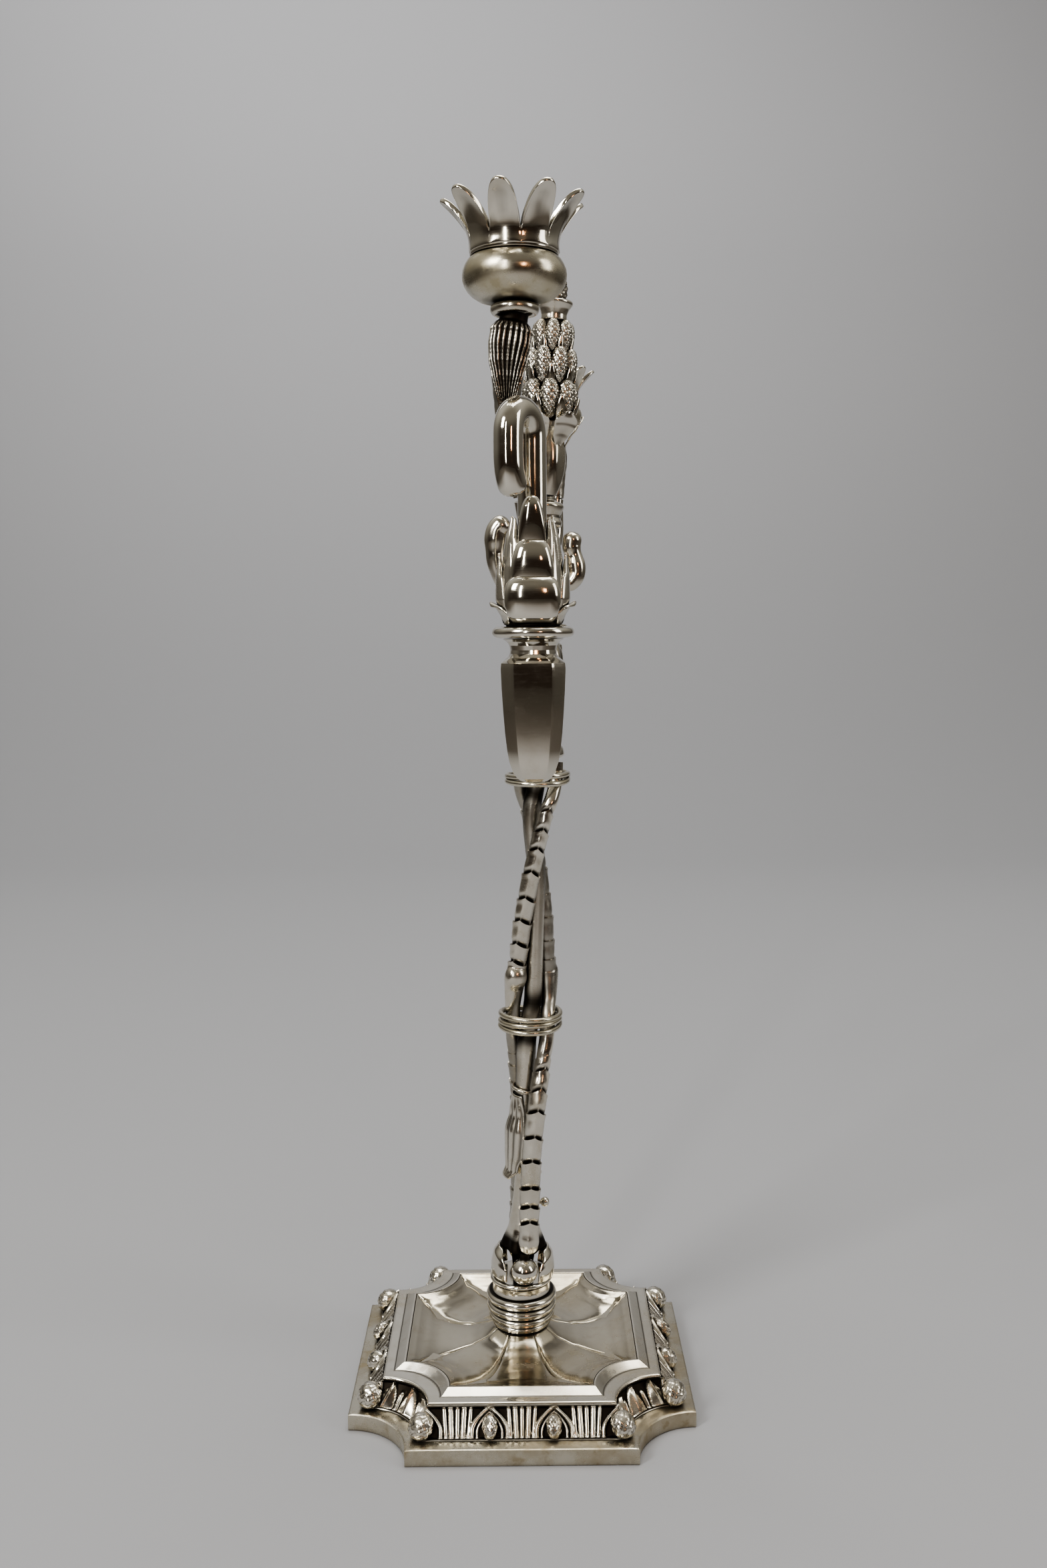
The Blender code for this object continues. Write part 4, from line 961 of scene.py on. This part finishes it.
def arm(which):
    A = ARMS[which]
    N, C = A @ NODE_AT, A @ CUP_AT

    def nm(base):
        return "%s_%s" % (base, which)

    lower = catmull([(0.0, -9.9, 287.0), (0.0, -26.0, 280.5), (0.0, -52.0, 277.5), (0.0, -82.0, 284.0), (0.0, -108.0, 300.0),
                     (0.0, -121.0, 312.5), (0.0, -127.5, 316.6), (0.0, -132.6, 318.4)], 150)
    upper = catmull([(0.0, -10.0, 297.5), (0.0, -28.0, 293.5), (0.0, -56.0, 292.5), (0.0, -84.0, 302.5), (-0.2, -108.0, 321.0),
                     (-0.8, -124.0, 333.5), (-1.5, -133.4, 340.4), (-2.4, -135.2, 346.2)], 150)

    def ringed(i, t, a):
        ph = (t * 22.0) % 1.0
        inn = 0.0 if t < 0.1 or t > 0.86 else 1.0
        dip = math.exp(-(ph / 0.12) ** 2) * inn
        return 1.0 + (0.07 * ph - 0.10 * dip) * inn, 0.9 * dip * (0.4 + 0.6 * abs(math.sin(a)))
    g = Geo()
    tube(g, lower, [3.3] * 150, 28, (1, 0, 0), shape=ringed)
    make(nm("arm_lower") + "_detail", g, A, "stand", [nm("arm_lower")], OXIDISED_SHADED)
    g = Geo()
    tube(g, upper, [3.0] * 150, 28, (1, 0, 0))
    make(nm("arm_upper") + "_detail", g, A, "stand", [nm("arm_upper")], POLISHED)

    # eight-sided drop
    st = [(264.4, 2.4, 0), (264.7, 3.7, 0), (265.6, 4.9, 0), (267.2, 6.0, 0), (270.5, 7.15, 0), (274.0, 7.75, 0), (279.0, 8.3, 0), (286.0, 8.8, 0),
          (292.0, 9.15, 0), (297.6, 9.35, 0), (299.2, 9.2, 0), (300.0, 8.4, 0.25), (300.8, 7.4, 0.7), (301.8, 6.85, 1.0), (302.9, 6.7, 1.0),
          (304.2, 6.95, 1.0), (305.3, 7.7, 1.0), (306.1, 8.9, 1.0)]
    corner = 0.59
    base = [(1.0, -corner), (1.0, corner), (corner, 1.0), (-corner, 1.0), (-1.0, corner), (-1.0, -corner), (-corner, -1.0), (corner, -1.0)]
    rows = []
    for z, hw, blunt in st:
        row = []
        for i, (cx, cy) in enumerate(base):
            nx, ny = base[(i + 1) % 8]
            for k in (0.0, 0.05, 0.25, 0.5, 0.75, 0.95):
                px, py = cx + (nx - cx) * k, cy + (ny - cy) * k
                b = math.atan2(py, px)
                soft = 0.02 if k in (0.0,) else 0.0
                x = px * (1 - blunt - soft) + math.cos(b) * (blunt + soft) if k == 0.0 else px * (1 - blunt) + math.cos(b) * blunt
                y = py * (1 - blunt - soft) + math.sin(b) * (blunt + soft) if k == 0.0 else py * (1 - blunt) + math.sin(b) * blunt
                row.append((hw * x, hw * y, z, 0.5 * math.exp(-((z - 301.6) / 0.8) ** 2) * 0.6))
        rows.append(row)
    g = Geo()
    g.grid(rows, cap0=True, cap1=True)
    make(nm("pendant") + "_detail", g, N, "stand", [nm("pendant")], MIRROR, sharp=16)

    g = Geo()
    prof = rounded([(0.2, 309.7), (8.2, 309.7), (10.6, 309.55), (11.6, 309.1), (11.95, 308.1), (11.75, 307.2), (10.9, 306.6), (9.4, 306.35), (0.2, 306.3)], 0.6, 4)
    rev(g, prof, 72)
    make(nm("disc") + "_detail", g, N, "stand", [nm("disc")], POLISHED)

    g = Geo()
    rev(g, rounded([(4.25, 336.5), (4.9, 335.0), (5.6, 330.0), (6.6, 322.0), (7.0, 316.0), (7.2, 312.0), (7.8, 309.9), (4.25, 309.9)], 0.6, 3), 48, loop=True,
        ox_and_shade=lambda a, z: 0.95)
    F, B = -PI / 2, PI / 2
    for az in (0.0, PI):
        hood_petal(g, az, [(0, 8.0, 0.8, 310.2), (0.45, 9.2, 1.0, 313.2), (0.8, 10.9, 0.7, 315.9), (1.0, 12.3, 0.10, 316.7)], 40, roll=0.3, levels=12, count=12)
        for d in (-0.62, 0.62):
            hood_petal(g, az + d, [(0, 7.9, 0.8, 311.0), (0.35, 8.9, 1.0, 318.5), (0.7, 8.2, 0.8, 327.0), (1.0, 7.0, 0.08, 333.5)], 30, bulge=0.5, roll=0.4)
            hood_petal(g, az + d * 0.8, [(0, 7.2, 0.8, 322.0), (0.35, 7.5, 1.0, 328.5), (0.7, 6.5, 0.8, 335.0), (1.0, 5.2, 0.08, 340.6)], 28, bulge=0.4, roll=0.3)
        hood_petal(g, az, [(0, 8.2, 0.8, 310.6), (0.35, 9.9, 1.0, 317.5), (0.7, 9.7, 0.75, 325.0), (1.0, 9.0, 0.08, 330.8)], 34, bulge=0.6, roll=0.6)
        hood_petal(g, az, [(0, 7.9, 0.8, 322.0), (0.35, 7.9, 1.0, 328.5), (0.7, 6.8, 0.8, 335.5), (1.0, 5.4, 0.08, 341.2)], 32, bulge=0.5, roll=0.3)
    make(nm("calyx") + "_detail", g, N, "stand", [nm("calyx")], OXIDISED_SHADED, solid=0.8, subsurf=1, sharp=60)
    g = Geo()
    hoods = ([(310.4, 5.3, 8.2), (311.3, 6.1, 9.0), (313.4, 7.35, 10.0), (316.6, 8.05, 10.7), (319.6, 7.95, 10.8), (321.8, 7.4, 10.3), (323.2, 6.5, 9.4),
              (324.1, 5.3, 8.3), (324.6, 3.6, 7.0), (324.7, 1.6, 5.9)],
             [(320.0, 5.6, 7.6), (323.0, 6.2, 8.6), (326.0, 6.15, 9.1), (328.8, 5.8, 9.2), (331.2, 5.2, 8.7), (332.9, 4.5, 8.0), (334.0, 3.6, 7.2), (334.6, 2.3, 6.2), (334.7, 1.0, 5.4)],
             [(331.5, 4.1, 6.3), (334.5, 4.0, 7.0), (337.5, 3.8, 7.5), (340.2, 3.5, 7.8), (342.4, 3.1, 7.9), (344.2, 2.6, 7.8), (345.6, 1.9, 7.3), (346.3, 1.2, 6.8), (346.6, 0.5, 6.3)])
    for turn in (0.0, PI):
        for rows_ in hoods:
            fine = catmull([(q[1], q[2], q[0]) for q in rows_], 30)
            grid = []
            for q in fine:
                hw, out, z = max(q.x, 0.15), q.y, q.z
                back = 3.9 if rows_ is hoods[2] else 3.0
                ry = max(0.2, (out - back) / 2)
                mid = (out + back) / 2
                line_ = []
                for k in range(40):
                    th = 2 * PI * k / 40
                    c_, s_ = math.cos(th), math.sin(th)
                    x_ = hw * math.copysign(abs(c_) ** 0.85, c_)
                    y_ = -mid - ry * math.copysign(abs(s_) ** 0.85, s_)
                    line_.append((x_, y_, z, 0.8 * smooth(rows_[0][0] + 2.0, rows_[0][0], z)))
                grid.append(line_)
            g.grid(grid, cap0=True, cap1=True, M=R(turn, 4, 'Z'))
    make(nm("calyx") + "_hoods", g, N, "stand", [], MIRROR, sharp=60)

    # column and hook
    az = math.radians(27.5)
    side = Vector((-math.sin(az), -math.cos(az), 0.0))
    start = Vector((0.0, -143.0, 0.0))
    raw = [start + Vector((0, 0, z)) for z in (310.1, 325.0, 340.0, 352.0, 360.0)]
    for k in range(0, 13):
        a = PI * k / 12
        raw.append(start + side * (6.75 * (1 - math.cos(a))) + Vector((0, 0, 363.2 + 6.75 * math.sin(a))))
    end = start + side * 13.5
    for z, pull in ((360.2, 0.08), (356.4, 0.08), (353.0, -0.35), (350.4, -1.3), (349.3, -2.0)):
        raw.append(end + side * pull + Vector((0, 0, z)))
    line = catmull(raw, 150)
    rad = [4.15] * 150
    pts, radii = round_ends(line, rad, start=False, steps=6)
    normal = Vector((math.cos(az), -math.sin(az), 0.0))
    g = Geo()
    tube(g, pts, radii, 36, normal, flat=(1.02, 0.99))
    make(nm("scroll") + "_detail", g, A, "stand", [nm("scroll")], MIRROR)

    low = catmull([(-2.7, -135.4, 347.5), (-4.0, -136.0, 353.0), (-6.2, -136.6, 362.0), (-7.2, -137.0, 369.6)], 40)
    g = Geo()
    tube(g, low, [3.0 + 0.3 * i / 39 for i in range(40)], 28, (0, -1, 0))
    make(nm("cup_stem") + "_detail", g, A, "stand", [nm("cup_stem")], POLISHED)

    high = catmull([(-7.2, -137.0, 370.0), (-7.0, -137.4, 378.0), (-6.6, -137.7, 386.0), (-5.6, -137.9, 393.0), (-4.7, -138.0, 398.6)], 90)
    rr = [(0, 3.4), (0.12, 3.9), (0.25, 4.4), (0.4, 5.0), (0.55, 5.6), (0.70, 6.0), (0.82, 5.9), (0.89, 5.0), (0.93, 4.1), (1.0, 4.05)]
    rad = [table(rr, i / 89) for i in range(90)]

    def palmette(i, t, a):
        k = smooth(0.02, 0.12, t) * smooth(0.92, 0.87, t)
        front = a if a <= PI else a - 2 * PI
        q = front / (0.30 + 0.70 * smooth(-0.1, 0.75, t))
        edge = smooth(1.75, 1.55, abs(q))
        fl = (0.5 + 0.5 * math.cos(q * 22.0)) ** 1.3 * edge
        bead = 0.022 * math.sin(t * 170) * (1 - fl) * edge
        tip = 0.86 - 0.02 * math.cos(q * 22.0)
        lobe = 0.05 * math.exp(-((t - tip) / 0.03) ** 2) * edge
        ox_ = min(1.0, 1.25 * (1 - fl) * edge + 0.25 * (1 - edge)) * k + 1.0 * smooth(0.86, 0.91, t) + 0.25 * smooth(0.5, 0.1, t)
        return 1.0 + k * (0.10 * (fl - 0.5) + bead) + lobe * k, min(1.0, ox_)
    g = Geo()
    tube(g, high, rad, 200, (0, -1, 0), shape=palmette)
    make(nm("cup_leaf") + "_detail", g, A, "stand", [nm("cup_leaf")], OXIDISED_SHADED, sharp=70)

    g = Geo()
    prof = rounded([(0.2, 401.2), (5.6, 401.25), (6.6, 401.0), (7.1, 400.3), (7.1, 399.3), (6.6, 398.4), (5.8, 398.1), (5.0, 398.4), (4.9, 399.7), (0.2, 399.7)], 0.4, 3)
    rev(g, prof, 56, ox_and_shade=lambda a, z: 0.0)
    make(nm("cup_collar") + "_detail", g, C, "stand", [nm("cup_collar")], POLISHED)

    g = Geo()
    prof = [(0.2, 404.4), (12.2, 404.4), (12.2, 413.7), (12.5, 413.85), (12.85, 413.6), (13.6, 412.9), (14.35, 411.6), (14.85, 410.3), (15.0, 409.1),
            (14.9, 407.7), (14.45, 406.2), (13.6, 404.8), (12.4, 403.6), (10.8, 402.6), (8.9, 402.0), (6.6, 401.6), (0.2, 401.5)]
    rev(g, prof, 96, ox_and_shade=lambda a, z: 0.6 * math.exp(-((z - 413.85) / 0.25) ** 2) * 1.0 + 0.6 * smooth(402.9, 401.5, z))
    make(nm("cup_bulb") + "_detail", g, C, "stand", [nm("cup_bulb")], SATIN)

    body = nm("nozzle")
    g = Geo()
    prof = [(0.2, 404.9), (10.8, 404.9), (11.5, 405.2), (11.85, 405.8), (11.85, 414.1), (12.45, 414.2), (12.7, 414.5), (12.62, 415.4), (12.4, 416.6), (11.9, 418.2), (11.5, 418.6),
            (11.1, 418.2), (11.1, 406.4), (10.6, 405.9), (0.2, 405.8)]
    rev(g, prof, 96, ox_and_shade=lambda a, z: 0.7 * math.exp(-((z - 414.15) / 0.2) ** 2))
    make(body + "_socket", g, C, body, [nm("nozzle")], MIRROR, sharp=50)
    g = Geo()
    shares = (0.0, 0.26, 0.50, 0.70, 0.85, 0.95)
    cols = []
    for k in range(9):
        for s in (-1.0,) + tuple(-q for q in reversed(shares[1:])) + shares:
            cols.append((math.radians(-100.0) + (k + s / 2.0) * 2 * PI / 9, abs(s)))
    flare = [(414.6, 12.35), (417.5, 12.15), (419.6, 12.45), (421.6, 13.2), (424.0, 14.6), (426.2, 16.2), (428.2, 18.0), (429.6, 19.8), (430.3, 20.85)]

    def flare_r(z):
        for (z0, r0), (z1, r1) in zip(flare, flare[1:]):
            if z <= z1:
                return r0 + (r1 - r0) * max(0.0, (z - z0) / (z1 - z0))
        return flare[-1][1]
    rows = []
    levels = [0.0, 0.14, 0.28, 0.42, 0.55, 0.67, 0.77, 0.86, 0.93, 0.975, 1.0]
    for t in levels:
        row = []
        for a, s in cols:
            top = 430.2 - (430.2 - 418.9) * s ** 2.7
            z = 414.8 + (top - 414.8) * t
            r = flare_r(z)
            rim = 0.35 * smooth(0.80, 0.97, t) * smooth(420, 425, z)
            dip = -0.75 * smooth(0.6, 0.0, s) * smooth(421, 428, z) * smooth(1.0, 0.8, t)
            row.append(((r + rim + dip) * math.cos(a), (r + rim + dip) * math.sin(a), z, max(0.5 * smooth(0.88, 1.0, s) * smooth(0.7, 1.0, t), 0.34 * smooth(0.7, 0.1, s) * smooth(419, 424, z) * smooth(1.0, 0.86, t))))
        rows.append(row)
    g.grid(rows)
    make(body + "_petals", g, C, body, [nm("nozzle")], MIRROR, solid=1.4, subsurf=2, sharp=180)


plinth()
frieze()
dish()
collar()
foot()
core()
stalk(1, "front")
stalk(-1, "rear")
ties()
sheath()
centre()
finial()
arm("front")
arm("rear")

# carried-over CAD nodes keep their shape and take a finish
for node, mat in (("base_bottom_plate", WORN), ("dish_washer", STEEL), ("clamp_nut", STEEL), ("tie_rod", STEEL)):
    o = frame["nodes"][node] if isinstance(frame, dict) and "nodes" in frame and isinstance(frame["nodes"], dict) else bpy.data.objects[node]
    o.data.materials.clear()
    o.data.materials.append(mat)


# ------------------------------------------------------------------ stage, light and camera
def stage_mesh(name, verts, faces, mat):
    mesh = bpy.data.meshes.new(name)
    mesh.from_pydata(verts, [], faces)
    mesh.shade_smooth()
    mesh.materials.append(mat)
    o = bpy.data.objects.new(name, mesh)
    bpy.context.scene.collection.objects.link(o)
    return o


pale = bpy.data.materials.new("stage_pale")
pale.use_nodes = True
pb = pale.node_tree.nodes["Principled BSDF"]
pg = pale.node_tree.nodes.new("ShaderNodeTexCoord")
ps = pale.node_tree.nodes.new("ShaderNodeSeparateXYZ")
pr = pale.node_tree.nodes.new("ShaderNodeMapRange")
floor_wall_painted_light = pale.node_tree.nodes.new("ShaderNodeMix")
floor_wall_painted_light.data_type = 'RGBA'
pr.interpolation_type = 'SMOOTHSTEP'
# painted light: the stage colour is darker on the floor and lighter up the wall
pr.inputs["From Min"].default_value, pr.inputs["From Max"].default_value = 0.0, 1.3
floor_wall_painted_light.inputs[6].default_value = (0.37, 0.374, 0.39, 1.0)
floor_wall_painted_light.inputs[7].default_value = (0.61, 0.617, 0.64, 1.0)
pale.node_tree.links.new(pg.outputs["Object"], ps.inputs[0])
pale.node_tree.links.new(ps.outputs[2], pr.inputs["Value"])
pale.node_tree.links.new(pr.outputs[0], floor_wall_painted_light.inputs[0])


def pmath(op, a, b, clamp=False):
    m = pale.node_tree.nodes.new("ShaderNodeMath")
    m.operation = op
    m.use_clamp = clamp
    for i, v in enumerate((a, b)):
        if isinstance(v, (int, float)):
            m.inputs[i].default_value = v
        else:
            pale.node_tree.links.new(v, m.inputs[i])
    return m.outputs[0]


def pstep(src, a, b):
    r = pale.node_tree.nodes.new("ShaderNodeMapRange")
    r.interpolation_type = 'SMOOTHSTEP'
    r.inputs["From Min"].default_value, r.inputs["From Max"].default_value = a, b
    pale.node_tree.links.new(src, r.inputs["Value"])
    return r.outputs[0]


# painted shade: beyond a patch round the candelabrum the stage turns near-black to the sides and in front, standing for
# the dark room
beside = pmath('SUBTRACT', pmath('ABSOLUTE', ps.outputs[0], 0.0), pmath('MULTIPLY', pmath('MAXIMUM', ps.outputs[1], -0.3), 0.42))
painted_room_shade = pmath('MAXIMUM', pstep(beside, 0.42, 0.95), pstep(pmath('MULTIPLY', ps.outputs[1], -1.0), 0.45, 1.35))
pf = pale.node_tree.nodes.new("ShaderNodeMix")
pf.data_type = 'RGBA'
pf.inputs[7].default_value = (0.085, 0.075, 0.066, 1.0)
pale.node_tree.links.new(painted_room_shade, pf.inputs[0])
pale.node_tree.links.new(floor_wall_painted_light.outputs[2], pf.inputs[6])
pale.node_tree.links.new(pf.outputs[2], pb.inputs["Base Color"])
pb.inputs["Roughness"].default_value = 0.7
pb.inputs["Specular IOR Level"].default_value = 0.2
verts, faces = [], []
prof = [(-2.2, 0.0), (-0.3, 0.0), (1.2, 0.0)] + [(1.2 + 1.0 * math.sin(a), 1.0 - 1.0 * math.cos(a)) for a in [PI / 2 * k / 16 for k in range(1, 17)]] + [(2.2, 5.0)]
for y, z in prof:
    verts += [(-1.8, y, z), (1.8, y, z)]
for i in range(len(prof) - 1):
    faces.append((2 * i, 2 * i + 1, 2 * i + 3, 2 * i + 2))
stage_mesh("stage_sweep", verts, faces, pale)

world = bpy.data.worlds.new("studio")
bpy.context.scene.world = world
world.use_nodes = True
wt = world.node_tree
wt.nodes.clear()
wo = wt.nodes.new("ShaderNodeOutputWorld")
wb = wt.nodes.new("ShaderNodeBackground")
tc = wt.nodes.new("ShaderNodeTexCoord")
sep = wt.nodes.new("ShaderNodeSeparateXYZ")
wt.links.new(tc.outputs["Generated"], sep.inputs[0])


def wmap(src, a, b, lo, hi):
    r = wt.nodes.new("ShaderNodeMapRange")
    r.interpolation_type = 'SMOOTHSTEP'
    for k, v in (("From Min", a), ("From Max", b), ("To Min", lo), ("To Max", hi)):
        r.inputs[k].default_value = v
    wt.links.new(src, r.inputs["Value"])
    return r.outputs[0]


def wmix(fac, a, b):
    m = wt.nodes.new("ShaderNodeMix")
    m.data_type = 'RGBA'
    wt.links.new(fac, m.inputs[0])
    for i, v in ((6, a), (7, b)):
        if isinstance(v, tuple):
            m.inputs[i].default_value = (*v, 1.0)
        else:
            wt.links.new(v, m.inputs[i])
    return m.outputs[2]


room = wmix(wmap(sep.outputs[2], 0.0, 0.75, 0.0, 1.0), (0.030, 0.022, 0.017), (0.20, 0.185, 0.155))
front = wmap(sep.outputs[1], -0.55, 0.25, 0.0, 1.0)
walls = wmix(wmap(sep.outputs[2], -0.1, 0.9, 0.0, 1.0), (0.10, 0.092, 0.080), (0.52, 0.505, 0.46))
sky = wmix(front, room, walls)
wt.links.new(sky, wb.inputs[0])
wb.inputs[1].default_value = 1.0
wt.links.new(wb.outputs[0], wo.inputs[0])


def area(name, loc, target, size, power, colour=(1, 1, 1), size_y=None):
    data = bpy.data.lights.new(name, 'AREA')
    data.energy = power
    data.color = colour
    data.shape = 'RECTANGLE' if size_y else 'SQUARE'
    data.size = size
    if size_y:
        data.size_y = size_y
    o = bpy.data.objects.new(name, data)
    bpy.context.scene.collection.objects.link(o)
    o.location = loc
    o.rotation_euler = (Vector(target) - Vector(loc)).to_track_quat('-Z', 'Y').to_euler()
    return o


area("key_left", (-1.15, -1.15, 1.25), (0, 0, 0.22), 0.50, 20.0, (1.0, 0.985, 0.96), 0.8)
area("top_soft", (0.2, 0.3, 2.1), (0, 0, 0.2), 1.3, 20.0, (1.0, 0.985, 0.95))
area("fill_right", (1.5, -0.5, 0.9), (0, 0, 0.2), 0.5, 6.0, (1.0, 0.97, 0.94), 1.1)
area("warm_spot", (0.42, -1.25, 0.62), (0, 0, 0.25), 0.10, 0.9, (1.0, 0.55, 0.32), 0.22)
area("strip_left", (-0.42, -1.20, 0.62), (0, 0, 0.24), 0.07, 3.2, (1.0, 0.985, 0.95), 0.75)
area("back_wash", (-0.6, 0.9, 2.1), (0.2, 2.2, 1.3), 1.2, 14.0)

cam_data = bpy.data.cameras.new("camera")
cam = bpy.data.objects.new("camera", cam_data)
bpy.context.scene.collection.objects.link(cam)
cam_data.lens = 31.735
cam_data.sensor_width = 36.0
cam_data.sensor_fit = 'AUTO'
cam_data.clip_start, cam_data.clip_end = 0.02, 50.0
cam.rotation_mode = 'QUATERNION'
cam.location = (0.0028, -0.5464, 0.3115)
cam.rotation_quaternion = (R(PI / 2 - 0.118, 3, 'X') @ R(-0.0092, 3, 'Z')).to_quaternion()
bpy.context.scene.camera = cam
bpy.context.scene.view_settings.view_transform = 'AgX'
bpy.context.scene.view_settings.look = 'AgX - Medium High Contrast'
